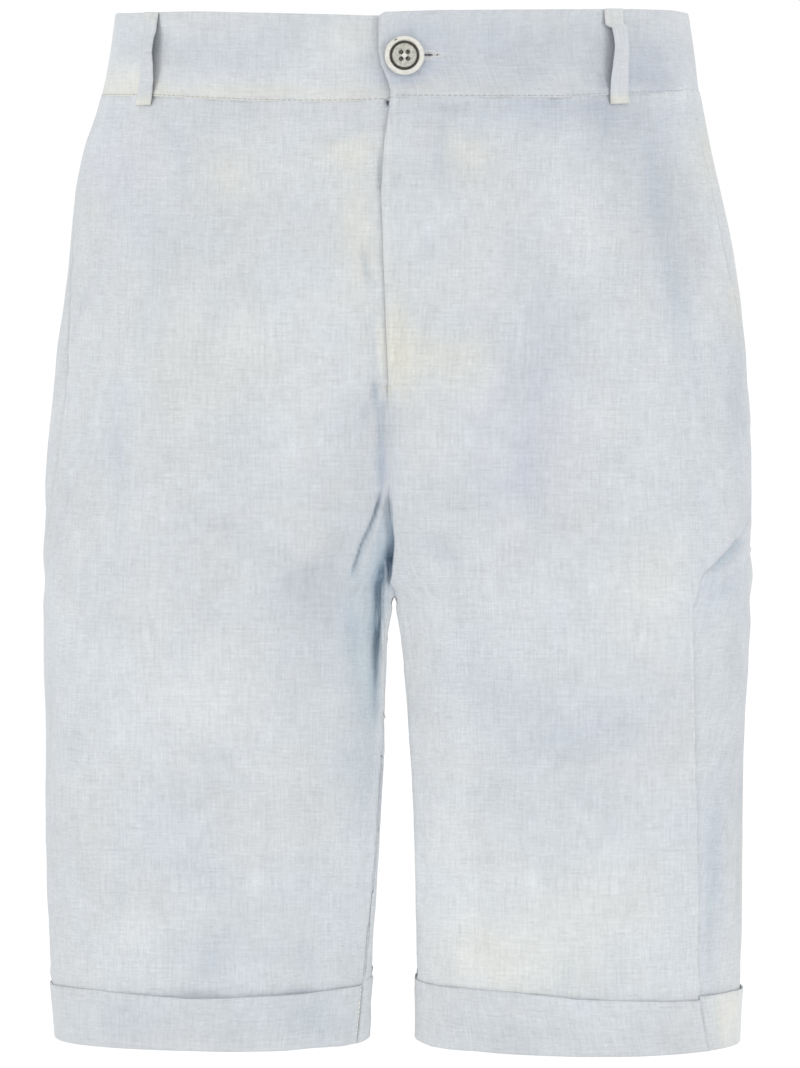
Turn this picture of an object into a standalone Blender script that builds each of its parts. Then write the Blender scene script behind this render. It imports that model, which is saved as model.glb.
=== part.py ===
"""Linen bermuda shorts with turned-up hems, filled out as worn, with nobody in them.

Metres, +Z up. The front faces -Y and the wearer's left is at +X. The origin is the middle of the waist,
halfway up the waistband. Each cloth piece is an open sheet on the garment's outer form, made into a wall
by Solidify, and the pieces lie SEAM_GAP apart where they are sewn together.

Each level of the form is worked out from SECTIONS and LEGS. One half of a level is a run of points that
starts at the middle of the front (below the crotch, at the inseam), goes round the outer side and ends at
the middle of the back. Its first coordinate is the distance from the middle plane between the legs.
"""

import math
from collections import namedtuple

import bmesh
import bpy
import numpy as np
from mathutils import Matrix, Vector

NAME = "bermuda_shorts"
MM = 0.001

# Cloth
CLOTH = 1.2 * MM                    # a panel or a turn-up
BAND_CLOTH = 2.0 * MM               # the folded waistband
LOOP_CLOTH = 1.6 * MM
SEAM_GAP = 0.3 * MM
HALF_GAP = SEAM_GAP / 2
SEAM_TRIM = HALF_GAP + 0.1 * MM     # walls that curve lean together at a seam
BAND_LEAN = 0.25 * MM               # the band's lower edge leans in over the panels
CUFF_EASE = 0.5 * MM                # between the leg and its turn-up

# Levels
BAND_TOP = 22.0 * MM
BAND_BOTTOM = -22.0 * MM
FRONT_CURVE_START = -215.0 * MM     # where the front seam leaves the upright and starts to turn under
BACK_CURVE_START = -135.0 * MM
FLY_END = -178.0 * MM
CROTCH = -283.0 * MM
HEM = -515.0 * MM

BACK_POWER = 2.1                    # how square a level is at the back: 2 is an ellipse
CURVE_EASE = 1.5                    # how softly the middle seam comes down to the crotch

BAND_PROUD = 0.8 * MM
BAND_LAP_LOW = 5.0 * MM             # how far the wearer's left half laps past the middle plane
BAND_LAP_HIGH = 11.5 * MM
BAND_UNDERLAP = 35.0 * MM
BAND_DIP = BAND_CLOTH + 0.8 * MM
EDGE_MARGIN = 5.0 * MM              # the narrow column beside a seam
SIDE_MARGIN = 14.0 * MM             # the column beside the side seam, as wide as the pocket's facing
SIDE_SPAN = 22.0 * MM               # the columns next to that
SIDE_SPANS = 4
FRONT_SPANS = 9                     # the columns from there to the middle seam or the inseam
BACK_SPANS = 11
BAND_SPANS = 24

CUFF_INSIDE = 8.0 * MM              # how far the turn-up's fold runs up inside the leg
CUFF_AT_INSEAM = 31.0 * MM
CUFF_AT_SIDE = 27.5 * MM
CUFF_FOLD_STEPS = 3

POCKET_MOUTH = 5.0 * MM
POCKET_TOP = -50.0 * MM
POCKET_BOTTOM = -208.0 * MM

LOOP_WIDTH = 12.0 * MM

BUTTON_RADIUS = 10.25 * MM
BUTTON_X = 2.3 * MM
BUTTON_Z = -1.6 * MM
BUTTON_LIFT = 0.6 * MM              # from the band's face to the button's back
BUTTON_STEPS = 28
BUTTON_PROFILE = [                  # millimetres: radius and height, down the outer side
    (0.0, 2.0), (7.0, 2.0), (7.5, 1.5), (8.1, 2.8), (9.2, 3.3), (10.0, 2.8),
    (10.25, 2.0), (9.7, 0.7), (8.2, 0.0), (0.0, 0.0),
]
HOLE_OFFSET = 2.3 * MM
HOLE_RADIUS = 0.95 * MM
HOLE_SIDES = 10
SHANK_RADIUS = 1.3 * MM
SHANK_SIDES = 12
EYELET_RADIUS = 2.0 * MM
EYELET_SIDES = 16
SLIT_LENGTH = 20.0 * MM
SLIT_HEIGHT = 1.2 * MM
CUT_DEPTH = 8.0 * MM

RUN_STEPS = 48                      # points on each arc of a run
TOO_CLOSE = 1e-9                    # points nearer than this are one point
MERGE = 0.00001

LINEN = (0.62, 0.71, 0.78)
CREAM = (0.80, 0.80, 0.73)
HORN = (0.66, 0.63, 0.56)
CLOTH_ROUGHNESS = 0.9
HORN_ROUGHNESS = 0.35

# Millimetres: the middle plane, the half widths on the wearer's right and left, the depths, and how
# square the front is (2 is an ellipse)
Section = namedtuple("Section", "level middle right left front back front_power")
SECTIONS = [
    Section(24, 1.0, 150.0, 150.0, 103, 105, 2.2),
    Section(0, 1.0, 153.3, 153.4, 106, 108, 2.2),
    Section(-22, 0.5, 157.0, 156.5, 109, 112, 2.2),
    Section(-50, 0.0, 165.4, 162.8, 112, 119, 2.2),
    Section(-71, -0.5, 168.6, 168.0, 114, 125, 2.2),
    Section(-113, -1.5, 172.8, 177.4, 117, 134, 2.3),
    Section(-155, -2.5, 177.6, 183.6, 118, 139, 2.4),
    Section(-187, -3.0, 179.7, 186.2, 117, 139, 2.5),
    Section(-208, -3.0, 181.8, 187.3, 115, 136, 2.6),
    Section(-250, -3.0, 183.4, 187.0, 110, 126, 2.7),
    Section(-283, -3.0, 183.6, 187.3, 105, 116, 2.7),
    Section(-313, -3.0, 183.7, 186.2, 101, 108, 2.65),
    Section(-355, -3.0, 183.0, 184.8, 96, 100, 2.6),
    Section(-397, -3.0, 183.0, 183.8, 91, 94, 2.5),
    Section(-449, -3.0, 181.8, 183.4, 86, 87, 2.4),
    Section(-491, -3.0, 179.6, 182.0, 83, 82, 2.35),
    Section(-516, -3.0, 177.4, 180.6, 81, 79, 2.3),
]

# Millimetres from the middle plane to the leg's inner side, and how far forward each seam lies, as a
# share of the depth to the front
Leg = namedtuple("Leg", "level gap_right gap_left side_right side_left inseam_right inseam_left")
LEGS = [
    Leg(24, 0, 0, 0.05, 0.28, 0, 0),
    Leg(-22, 0, 0, 0.05, 0.28, 0, 0),
    Leg(-71, 0, 0, 0.10, 0.30, 0, 0),
    Leg(-103, 0, 0, 0.20, 0.30, 0, 0),
    Leg(-134, 0, 0, 0.31, 0.24, 0, 0),
    Leg(-187, 0, 0, 0.40, 0.15, 0, 0),
    Leg(-225, 0, 0, 0.37, 0.17, 0, 0),
    Leg(-254, 0, 0, 0.32, 0.28, 0, 0),
    Leg(-283, 0, 0, 0.29, 0.43, 0, 0),
    Leg(-302, 2.7, 2.7, 0.27, 0.53, 0.16, 0.05),
    Leg(-325, 4.1, 5.0, 0.26, 0.62, 0.28, 0.10),
    Leg(-355, 5.0, 7.6, 0.24, 0.67, 0.35, 0.13),
    Leg(-397, 7.2, 9.6, 0.22, 0.69, 0.37, 0.15),
    Leg(-449, 10.7, 10.9, 0.19, 0.69, 0.38, 0.17),
    Leg(-516, 13.7, 11.9, 0.15, 0.69, 0.45, 0.20),
]

# On the left leg the outer seam turns to the front below the pocket.
Outseam = namedtuple("Outseam", "level left")
OUTSEAM = [
    Outseam(-187, 0.15), Outseam(-205, 0.15), Outseam(-225, 0.20), Outseam(-240, 0.31), Outseam(-254, 0.56),
    Outseam(-268, 0.80), Outseam(-283, 0.866), Outseam(-302, 0.866), Outseam(-325, 0.857),
    Outseam(-355, 0.844), Outseam(-397, 0.818), Outseam(-449, 0.791), Outseam(-487, 0.780),
    Outseam(-502, 0.778), Outseam(-516, 0.777),
]

# Millimetres: how far the wearer's left front laps past the middle plane, how far the right one runs
# under it, and how deep that one dips to make room
Fly = namedtuple("Fly", "level lap underlap dip")
FLY = [
    Fly(-22, 5.0, 14, 1.7),
    Fly(-45, 8.0, 14, 1.7),
    Fly(-71, 9.0, 14, 1.7),
    Fly(-105, 7.0, 14, 1.7),
    Fly(-168, 3.0, 14, 1.7),
    Fly(-173, 0.0, 0, 1.7),
    Fly(-178, 0.0, 0, 0.0),
]
DIP_FULL, DIP_NONE = 13.0 * MM, 33.0 * MM

PANEL_LEVELS = [
    -50, -80, -115, -145, -168, -173, -178, -200, -222, -240, -254, -265,
    -273.5, -279.5, -283, -292, -308, -338, -380, -430, -487, -515,
]
BAND_LEVELS = [22, 0, -22]

# The largest folds, as soft ridges (depth over 0) and troughs. Millimetres: the middle's distance from the
# side seam (towards the front if under 0) and level, the reach up and down, the reach to each side, and
# the depth. Lean is how far it shifts from the seam for each millimetre it climbs.
Fold = namedtuple("Fold", "side from_seam level tall wide depth lean")
FOLDS = [
    Fold(-1, -198, -252, 42, 20, -3.0, -0.36),
    Fold(-1, -55, -350, 170, 30, 1.8, 0.02),
    Fold(-1, -122, -410, 130, 34, -1.5, 0.03),
    Fold(-1, 72, -340, 160, 34, -2.4, 0.06),
    Fold(-1, 150, -400, 130, 38, 2.0, -0.05),
    Fold(-1, 112, -180, 90, 46, 1.6, 0.25),
    Fold(1, 14, -274, 30, 26, -3.0, 0.50),
    Fold(1, -68, -420, 140, 32, 1.6, 0.00),
    Fold(1, -136, -360, 150, 36, -1.4, 0.03),
    Fold(1, 66, -410, 140, 36, -2.2, -0.04),
    Fold(1, 146, -340, 160, 38, 2.1, 0.04),
    Fold(1, 96, -170, 80, 48, 1.5, -0.30),
]

# Millimetres along a loop's strip: its level, and how far its inner face stands off the garment
Bow = namedtuple("Bow", "level out")
LOOP_BOWS = [
    Bow(-27, 0.3), Bow(-23.6, 0.4), Bow(-21, 1.7), Bow(-15.5, 4.3), Bow(-7, 5.9),
    Bow(2, 6.2), Bow(10, 5.2), Bow(16, 3.0), Bow(19.4, 1.3), Bow(22, 1.1),
]

# The side of the wearer, whether at the back, and millimetres from the middle plane
Loop = namedtuple("Loop", "name side behind across")
LOOPS = [
    Loop("loop_front_left", 1, False, 108.0),
    Loop("loop_front_right", -1, False, 126.0),
    Loop("loop_back_left", 1, True, 88.0),
    Loop("loop_back_right", -1, True, 88.0),
    Loop("loop_back_centre", 1, True, 0.0),
]

Oval = namedtuple("Oval", "centre half_width depth power")


def ease(value):
    """0 to 1 with soft ends."""
    value = min(max(value, 0.0), 1.0)
    return value * value * (3 - 2 * value)


def smooth(rows, column, level):
    """A column of a table at a level, both in metres, on a cubic through its rows."""
    levels = np.array([row.level for row in rows], float) * MM
    values = np.array([getattr(row, column) for row in rows], float)
    slopes = np.gradient(values, levels)
    level = min(max(level, levels[-1]), levels[0])
    above = min(int(np.searchsorted(-levels, -level, side="right")) - 1, len(rows) - 2)
    span = levels[above + 1] - levels[above]
    t = (level - levels[above]) / span
    start = (1 + 2 * t) * (1 - t) ** 2 * values[above] + t * (1 - t) ** 2 * span * slopes[above]
    end = t * t * (3 - 2 * t) * values[above + 1] - t * t * (1 - t) * span * slopes[above + 1]
    return start + end


def straight(rows, column, level):
    """A column of a table at a level, both in metres, on straight lines through its rows."""
    levels = [-row.level * MM for row in rows]
    return float(np.interp(-level, levels, [getattr(row, column) for row in rows]))


def side_name(side):
    return "left" if side > 0 else "right"


def ovals(side, level):
    """The front and back ovals whose halves make a level, each cut off by the middle plane."""
    outer = smooth(SECTIONS, side_name(side), level) * MM
    gap = max(smooth(LEGS, "gap_" + side_name(side), level) * MM, 0.0)
    front_power = smooth(SECTIONS, "front_power", level)
    pair = []
    for start, depth, power in (
        (FRONT_CURVE_START, smooth(SECTIONS, "front", level) * MM, front_power),
        (BACK_CURVE_START, smooth(SECTIONS, "back", level) * MM, BACK_POWER),
    ):
        risen = min(max((level - CROTCH) / (start - CROTCH), 0.0), 1.0)
        shut = (1 - risen ** CURVE_EASE) ** CURVE_EASE
        inner = gap if level <= CROTCH else -outer * (1 - shut) / (1 + shut)
        pair.append(Oval((outer + inner) / 2, (outer - inner) / 2, depth, power))
    return pair


def oval_points(oval, facing, start, end):
    """Points on an oval between two angles: 0 is the outer side and pi the inner one."""
    angles = np.linspace(start, end, RUN_STEPS)
    across, deep = np.cos(angles), np.sin(angles)
    x = oval.centre + oval.half_width * np.sign(across) * np.abs(across) ** (2 / oval.power)
    y = facing * oval.depth * np.abs(deep) ** (2 / oval.power)
    return np.column_stack((x, y))


def angle_across(oval, x):
    share = (x - oval.centre) / oval.half_width
    return math.acos(math.copysign(min(abs(share), 1.0) ** (oval.power / 2), share))


def angle_forward(oval, share):
    return math.asin(share ** (oval.power / 2))


def seam_share(side, level):
    """How far forward a leg's outer seam lies, as a share of the front oval's depth."""
    if side > 0 and level < OUTSEAM[0].level * MM:
        return smooth(OUTSEAM, "left", level)
    return smooth(LEGS, "side_" + side_name(side), level)


class Run:
    """One half of a level, measured along the cloth from its front end."""

    def __init__(self, side, level, lap=0.0):
        self.side, self.level = side, level
        self.middle = smooth(SECTIONS, "middle", level) * MM
        front, back = ovals(side, level)
        below = level <= CROTCH
        forward = max(smooth(LEGS, "inseam_" + side_name(side), level), 0.0)
        inseam = math.pi - angle_forward(front, forward)
        seam = angle_forward(front, seam_share(side, level))
        start = inseam if below else angle_across(front, -lap)
        end = math.pi if below else angle_across(back, 0.0)
        to_side = oval_points(front, -1, start, seam)
        parts = [to_side, oval_points(front, -1, seam, 0)[1:], oval_points(back, 1, 0, end)[1:]]
        if below:
            parts.append(oval_points(front, -1, math.pi, inseam)[1:])
        self.points = np.concatenate(parts)
        steps = np.linalg.norm(np.diff(self.points, axis=0), axis=1)
        apart = steps > TOO_CLOSE
        self.points = self.points[np.concatenate(([True], apart))]
        self.reach = np.concatenate(([0.0], np.cumsum(steps[apart])))
        self.slopes = np.gradient(self.points, self.reach, axis=0)
        self.seam = self.reach[np.argmin(np.linalg.norm(self.points - to_side[-1], axis=1))]
        self.length = self.reach[-1]
        line = oval_points(front, -1, start, angle_forward(front, smooth(LEGS, "side_" + side_name(side), level)))[-1]
        near = np.argmin(np.linalg.norm(self.points - line, axis=1))
        self.side_line = self.reach[near] + float((line - self.points[near]) @ self.slopes[near])
        self.trim = SEAM_TRIM if below else 0.0

    def across(self, distance):
        return float(np.interp(distance, self.reach, self.points[:, 0]))

    def place(self, distance, out=0.0, level=None):
        """The point at a distance along the run, moved out from the form."""
        spot = [float(np.interp(distance, self.reach, self.points[:, i])) for i in (0, 1)]
        slope = [float(np.interp(distance, self.reach, self.slopes[:, i])) for i in (0, 1)]
        size = math.hypot(*slope)
        out += fold_at(self.side, distance - self.side_line, self.level)
        x = spot[0] + out * slope[1] / size
        y = spot[1] - out * slope[0] / size
        return Vector((self.middle + self.side * (x + HALF_GAP), y, self.level if level is None else level))

    def distance_at(self, across, behind):
        """How far along the run it lies a given distance from the middle plane."""
        half = self.points[:, 1] > 0 if behind else self.points[:, 1] < 0
        choice = np.where(half, np.abs(self.points[:, 0] - across), np.inf)
        return float(self.reach[np.argmin(choice)])


def fold_at(side, from_seam, level):
    """How far the folds move the cloth out, with the place given in metres."""
    out = 0.0
    for fold in FOLDS:
        climb = level / MM - fold.level
        off = (from_seam / MM - fold.from_seam - fold.lean * climb) / fold.wide
        if fold.side == side and abs(off) < 1 and abs(climb) < fold.tall:
            out += fold.depth * MM * (1 - off ** 2) ** 2 * (1 - (climb / fold.tall) ** 2) ** 2
    return out


def dip_at(across, depth):
    return depth * ease((DIP_NONE - across) / (DIP_NONE - DIP_FULL))


def side_columns(run, way):
    """Distances of the columns beside the side seam, outwards from it."""
    return [run.seam + way * (SIDE_MARGIN + SIDE_SPAN * i) for i in range(SIDE_SPANS + 1)]


def front_columns(run, lap, mouth=0.0):
    """Distances of a front's columns: by the fly they keep their places, and below it they even out."""
    beside = side_columns(run, -1)[::-1]
    first = max(lap, EDGE_MARGIN)
    fly = [run.trim, first, first + DIP_FULL, first + DIP_NONE]
    fly += list(np.linspace(fly[-1], beside[0], FRONT_SPANS - 2)[1:])
    even = np.linspace(run.trim, beside[0], FRONT_SPANS + 1)
    share = ease((FLY_END - run.level) / (FLY_END - CROTCH))
    inner = [a + (b - a) * share for a, b in zip(fly, even)]
    return inner + beside[1:] + [run.seam - SEAM_TRIM - mouth]


def back_columns(run):
    beside = side_columns(run, 1)
    last = run.length - run.trim
    return [run.seam + SEAM_TRIM] + beside + list(np.linspace(beside[-1], last, BACK_SPANS + 1)[1:])


def mouth_at(level):
    share = (POCKET_TOP - level) / (POCKET_TOP - POCKET_BOTTOM)
    return POCKET_MOUTH * math.sin(math.pi * share) if 0 < share < 1 else 0.0


def panel_levels():
    return [BAND_BOTTOM - SEAM_GAP - BAND_LEAN] + [level * MM for level in PANEL_LEVELS]


def front_grid(side):
    grid = []
    for level in panel_levels():
        lap = straight(FLY, "lap" if side > 0 else "underlap", level) * MM
        depth = 0.0 if side > 0 else straight(FLY, "dip", level) * MM
        run = Run(side, level, lap)
        columns = front_columns(run, lap, mouth_at(level))
        grid.append([run.place(d, -dip_at(run.across(d), depth)) for d in columns])
    return grid


def back_grid(side):
    grid = []
    for level in panel_levels():
        run = Run(side, level)
        grid.append([run.place(d) for d in back_columns(run)])
    return grid


def band_grid(side):
    """The wearer's left half laps over the other, which dips and runs on under it."""
    grid = []
    for level in (level * MM for level in BAND_LEVELS):
        lap = BAND_UNDERLAP
        if side > 0:
            risen = ease((level - BAND_BOTTOM) / (BAND_TOP - BAND_BOTTOM))
            lap = BAND_LAP_LOW + (BAND_LAP_HIGH - BAND_LAP_LOW) * risen
        depth = 0.0 if side > 0 else BAND_DIP
        run = Run(side, level, lap)
        near = [0.0, lap, lap + DIP_FULL, lap + DIP_NONE]
        columns = near + list(np.linspace(near[-1], run.length, BAND_SPANS - 2)[1:])
        grid.append([run.place(d, BAND_PROUD - dip_at(run.across(d), depth)) for d in columns])
    return grid


def facing_grid(side):
    grid = []
    for level in panel_levels():
        if not POCKET_BOTTOM < level < POCKET_TOP:
            continue
        run = Run(side, level)
        edge = SEAM_TRIM + mouth_at(level)
        distances = (run.seam - SIDE_MARGIN, run.seam - edge, run.seam + SEAM_TRIM, run.seam + SIDE_MARGIN)
        grid.append([run.place(d, -CLOTH - SEAM_GAP) for d in distances])
    return grid


def cuff_profile(height):
    """The turn-up's outside, from inside the leg, round the fold and up outside it."""
    outside = CLOTH + CUFF_EASE
    middle = -CLOTH / 2
    radius = outside - middle
    fold = [
        (middle - radius * math.cos(angle), HEM - radius * math.sin(angle))
        for angle in np.linspace(0, math.pi, CUFF_FOLD_STEPS + 1)
    ]
    return [(middle - radius, HEM + CUFF_INSIDE)] + fold + [(outside, HEM + height)]


def cuff_grid(side, behind):
    hem = Run(side, HEM)
    columns = back_columns(hem) if behind else front_columns(hem, 0.0)
    shares = [(d - columns[0]) / (columns[-1] - columns[0]) for d in columns]
    grid = []
    for place in range(len(cuff_profile(0))):
        row = []
        for share, at_hem in zip(shares, columns):
            near_inseam = share if behind else 1 - share
            height = CUFF_AT_SIDE + (CUFF_AT_INSEAM - CUFF_AT_SIDE) * near_inseam
            out, level = cuff_profile(height)[place]
            run = Run(side, max(level, HEM))
            same = back_columns(run) if behind else front_columns(run, 0.0)
            row.append(run.place(same[columns.index(at_hem)], out, level))
        grid.append(row)
    return grid[::-1]


def loop_grid(loop):
    grid = []
    for bow in reversed(LOOP_BOWS):
        run = Run(loop.side, bow.level * MM)
        centre = run.distance_at(loop.across * MM, loop.behind)
        out = bow.out * MM
        if loop.across == 0:
            edge = run.place(run.length - LOOP_WIDTH / 2, out)
            row = [edge, run.place(run.length, out), Vector((2 * run.middle - edge.x, edge.y, edge.z))]
        else:
            row = [run.place(centre + share * LOOP_WIDTH, out) for share in (-0.5, 0, 0.5)]
        grid.append(row)
    return grid


def collection(name):
    found = bpy.data.collections.new(name)
    bpy.context.scene.collection.children.link(found)
    return found


def finish(thing, colour, roughness):
    material = bpy.data.materials.new(thing.name + "_finish")
    material.use_nodes = True
    shader = material.node_tree.nodes["Principled BSDF"]
    shader.inputs["Base Color"].default_value = (*colour, 1.0)
    shader.inputs["Roughness"].default_value = roughness
    shader.inputs["Metallic"].default_value = 0.0
    thing.data.materials.append(material)


def sheet(home, name, grid, side, thickness, colour=LINEN, offset=-1.0):
    """A cloth wall from rows of points that go down the garment, each row away from its front end."""
    work = bmesh.new()
    rows = [[work.verts.new(point) for point in row] for row in grid]
    for upper, lower in zip(rows, rows[1:]):
        for i in range(len(upper) - 1):
            corners = [upper[i], lower[i], lower[i + 1], upper[i + 1]]
            work.faces.new(corners if side > 0 else corners[::-1])
    mesh = bpy.data.meshes.new(name)
    work.to_mesh(mesh)
    work.free()
    mesh.shade_smooth()
    thing = bpy.data.objects.new(name, mesh)
    home.objects.link(thing)
    wall = thing.modifiers.new("wall", "SOLIDIFY")
    wall.thickness = thickness
    wall.offset = offset
    wall.use_even_offset = True
    finish(thing, colour, CLOTH_ROUGHNESS)
    return thing


def placed(home, work, name, place):
    """An object from a bmesh, at its place in the world."""
    mesh = bpy.data.meshes.new(name)
    work.to_mesh(mesh)
    work.free()
    thing = bpy.data.objects.new(name, mesh)
    thing.matrix_world = place
    home.objects.link(thing)
    return thing


def bar(home, name, radius, length, sides, place):
    """A round bar along its own Z, about its place."""
    work = bmesh.new()
    bmesh.ops.create_cone(
        work, cap_ends=True, segments=sides, radius1=radius, radius2=radius, depth=length
    )
    return placed(home, work, name, place)


def block(home, name, size, place):
    work = bmesh.new()
    bmesh.ops.create_cube(work, size=1.0)
    bmesh.ops.scale(work, vec=size, verts=work.verts)
    return placed(home, work, name, place)


def as_cutter(thing, target):
    thing.hide_render = True
    thing.display_type = "WIRE"
    cut = target.modifiers.new("cut_" + thing.name, "BOOLEAN")
    cut.operation = "DIFFERENCE"
    cut.solver = "EXACT"
    cut.object = thing


def button_seat(across=0.0, up=0.0, out=0.0):
    """A place by the button's middle on the waistband, whose Z is square to the band and Y runs up it."""
    above = smooth(SECTIONS, "front", BUTTON_Z + BUTTON_RADIUS)
    below = smooth(SECTIONS, "front", BUTTON_Z - BUTTON_RADIUS)
    lean = math.atan2((below - above) * MM, 2 * BUTTON_RADIUS)
    face = smooth(SECTIONS, "front", BUTTON_Z) * MM + BAND_PROUD
    turn = Matrix.Rotation(math.pi / 2 - lean, 4, "X")
    return Matrix.Translation((BUTTON_X, -face, BUTTON_Z)) @ turn @ Matrix.Translation((across, up, out))


def cut_buttonhole(cutters, band):
    as_cutter(bar(cutters, "eyelet", EYELET_RADIUS, CUT_DEPTH, EYELET_SIDES, button_seat()), band)
    size = (SLIT_LENGTH, SLIT_HEIGHT, CUT_DEPTH)
    as_cutter(block(cutters, "slit", size, button_seat(SLIT_LENGTH / 2)), band)


def make_button(home, cutters):
    """A turned disc with a raised rim, a groove, a sunk middle and four holes."""
    mesh = bpy.data.meshes.new("button")
    points = [(radius * MM, 0.0, height * MM) for radius, height in BUTTON_PROFILE]
    mesh.from_pydata(points, [(i, i + 1) for i in range(len(points) - 1)], [])
    button = bpy.data.objects.new("button", mesh)
    home.objects.link(button)
    turn = button.modifiers.new("turn", "SCREW")
    turn.axis = "Z"
    turn.steps = BUTTON_STEPS
    turn.render_steps = BUTTON_STEPS
    turn.use_merge_vertices = True
    turn.merge_threshold = MERGE
    turn.use_smooth_shade = True
    button.matrix_world = button_seat(out=BUTTON_LIFT)
    for number, (across, up) in enumerate(((1, 1), (-1, 1), (-1, -1), (1, -1))):
        place = button_seat(across * HOLE_OFFSET, up * HOLE_OFFSET)
        as_cutter(bar(cutters, f"hole_{number + 1}", HOLE_RADIUS, CUT_DEPTH * 2, HOLE_SIDES, place), button)
    finish(button, HORN, HORN_ROUGHNESS)


def make_shank(home):
    """The thread that holds the button, from the band's under end out through the eyelet."""
    front = BUTTON_LIFT - SEAM_GAP
    behind = -BAND_DIP + SEAM_GAP
    place = button_seat(out=(front + behind) / 2)
    shank = bar(home, "button_shank", SHANK_RADIUS, front - behind, SHANK_SIDES, place)
    finish(shank, CREAM, CLOTH_ROUGHNESS)


def build():
    for thing in list(bpy.data.objects):
        bpy.data.objects.remove(thing, do_unlink=True)
    home, cutters = collection(NAME), collection(NAME + "_cutters")
    for side in (1, -1):
        word = side_name(side)
        sheet(home, "front_" + word, front_grid(side), side, CLOTH)
        sheet(home, "back_" + word, back_grid(side), side, CLOTH)
        sheet(home, "pocket_facing_" + word, facing_grid(side), side, CLOTH, CREAM)
        sheet(home, "cuff_front_" + word, cuff_grid(side, False), side, CLOTH)
        sheet(home, "cuff_back_" + word, cuff_grid(side, True), side, CLOTH)
        band = sheet(home, "waistband_" + word, band_grid(side), side, BAND_CLOTH)
        if side > 0:
            cut_buttonhole(cutters, band)
    for loop in LOOPS:
        sheet(home, loop.name, loop_grid(loop), loop.side, LOOP_CLOTH, offset=1.0)
    make_button(home, cutters)
    make_shank(home)


build()
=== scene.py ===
"""The looks of the linen bermuda shorts: every cloth piece as a fine shell on its solid's form.

All sizes here are millimetres until a mesh is made. The front faces -Y and the wearer's left is at +X.
The tables of the form and the functions that read them are the part's own; CREASES, the seams, the cloth's
colours with painted shade and highlight, and the stitching are added here. One half of a level is a run of
points that starts at the middle of the front (below the crotch, at the inseam), goes round the outer side and
ends at the middle of the back.
"""

import math
from collections import namedtuple

import bmesh
import bpy
import numpy as np
from mathutils import Matrix, Vector
from mathutils.bvhtree import BVHTree


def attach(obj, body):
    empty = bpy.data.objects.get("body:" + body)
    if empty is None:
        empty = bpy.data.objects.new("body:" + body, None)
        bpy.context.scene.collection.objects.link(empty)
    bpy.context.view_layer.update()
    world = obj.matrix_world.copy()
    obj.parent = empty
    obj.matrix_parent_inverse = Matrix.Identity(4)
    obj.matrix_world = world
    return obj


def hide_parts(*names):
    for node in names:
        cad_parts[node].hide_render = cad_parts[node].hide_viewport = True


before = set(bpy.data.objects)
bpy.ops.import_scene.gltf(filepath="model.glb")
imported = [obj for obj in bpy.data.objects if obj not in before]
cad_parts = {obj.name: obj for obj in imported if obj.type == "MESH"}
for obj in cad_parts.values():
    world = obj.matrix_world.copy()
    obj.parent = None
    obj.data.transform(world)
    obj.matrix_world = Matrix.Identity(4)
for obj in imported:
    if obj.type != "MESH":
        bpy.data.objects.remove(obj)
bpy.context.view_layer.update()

MM = 0.001

# Cloth
CLOTH = 1.0                 # a panel or a turn-up
BAND_CLOTH = 2.0
LOOP_CLOTH = 1.4
SEAM_GAP = 0.3
HALF_GAP = SEAM_GAP / 2
BAND_PROUD = 0.8
BAND_DIP = 2.8
CUFF_EASE = 0.2             # between the leg and its turn-up

# Levels
BAND_TOP = 22.0
BAND_BOTTOM = -22.0
FRONT_CURVE_START = -215.0
BACK_CURVE_START = -135.0
FLY_END = -178.0
CROTCH = -283.0
HEM = -515.0
POCKET_TOP = -50.0
POCKET_BOTTOM = -208.0
POCKET_MOUTH = 5.0
BACK_POWER = 2.1
CURVE_EASE = 1.5
DIP_FULL, DIP_NONE = 13.0, 33.0
BAND_UNDERLAP = 35.0
RUN_STEPS = 240
YARN_STARTS = {"front": 0, "back": 300, "band": 500, "facing": 700, "cuff": 900, "loop": 1200}


def table(columns, rows):
    """Rows whose values go by the names of their columns."""
    row = namedtuple("Row", columns)
    return [row(*values) for values in rows]


SECTIONS = table("level middle right left front back front_power", [
    (24, 1.0, 150.0, 150.0, 103, 105, 2.2),
    (0, 1.0, 153.3, 153.4, 106, 108, 2.2),
    (-22, 0.5, 157.0, 156.5, 109, 112, 2.2),
    (-50, 0.0, 165.4, 162.8, 112, 119, 2.2),
    (-71, -0.5, 168.6, 168.0, 114, 125, 2.2),
    (-113, -1.5, 172.8, 177.4, 117, 134, 2.3),
    (-155, -2.5, 177.6, 183.6, 118, 139, 2.4),
    (-187, -3.0, 179.7, 186.2, 117, 139, 2.5),
    (-208, -3.0, 181.8, 187.3, 115, 136, 2.6),
    (-250, -3.0, 183.4, 187.0, 110, 126, 2.7),
    (-283, -3.0, 183.6, 187.3, 105, 116, 2.7),
    (-313, -3.0, 183.7, 186.2, 101, 108, 2.65),
    (-355, -3.0, 183.0, 184.8, 96, 100, 2.6),
    (-397, -3.0, 183.0, 183.8, 91, 94, 2.5),
    (-449, -3.0, 181.8, 183.4, 86, 87, 2.4),
    (-491, -3.0, 179.6, 182.0, 83, 82, 2.35),
    (-516, -3.0, 177.4, 180.6, 81, 79, 2.3),
])

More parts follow.
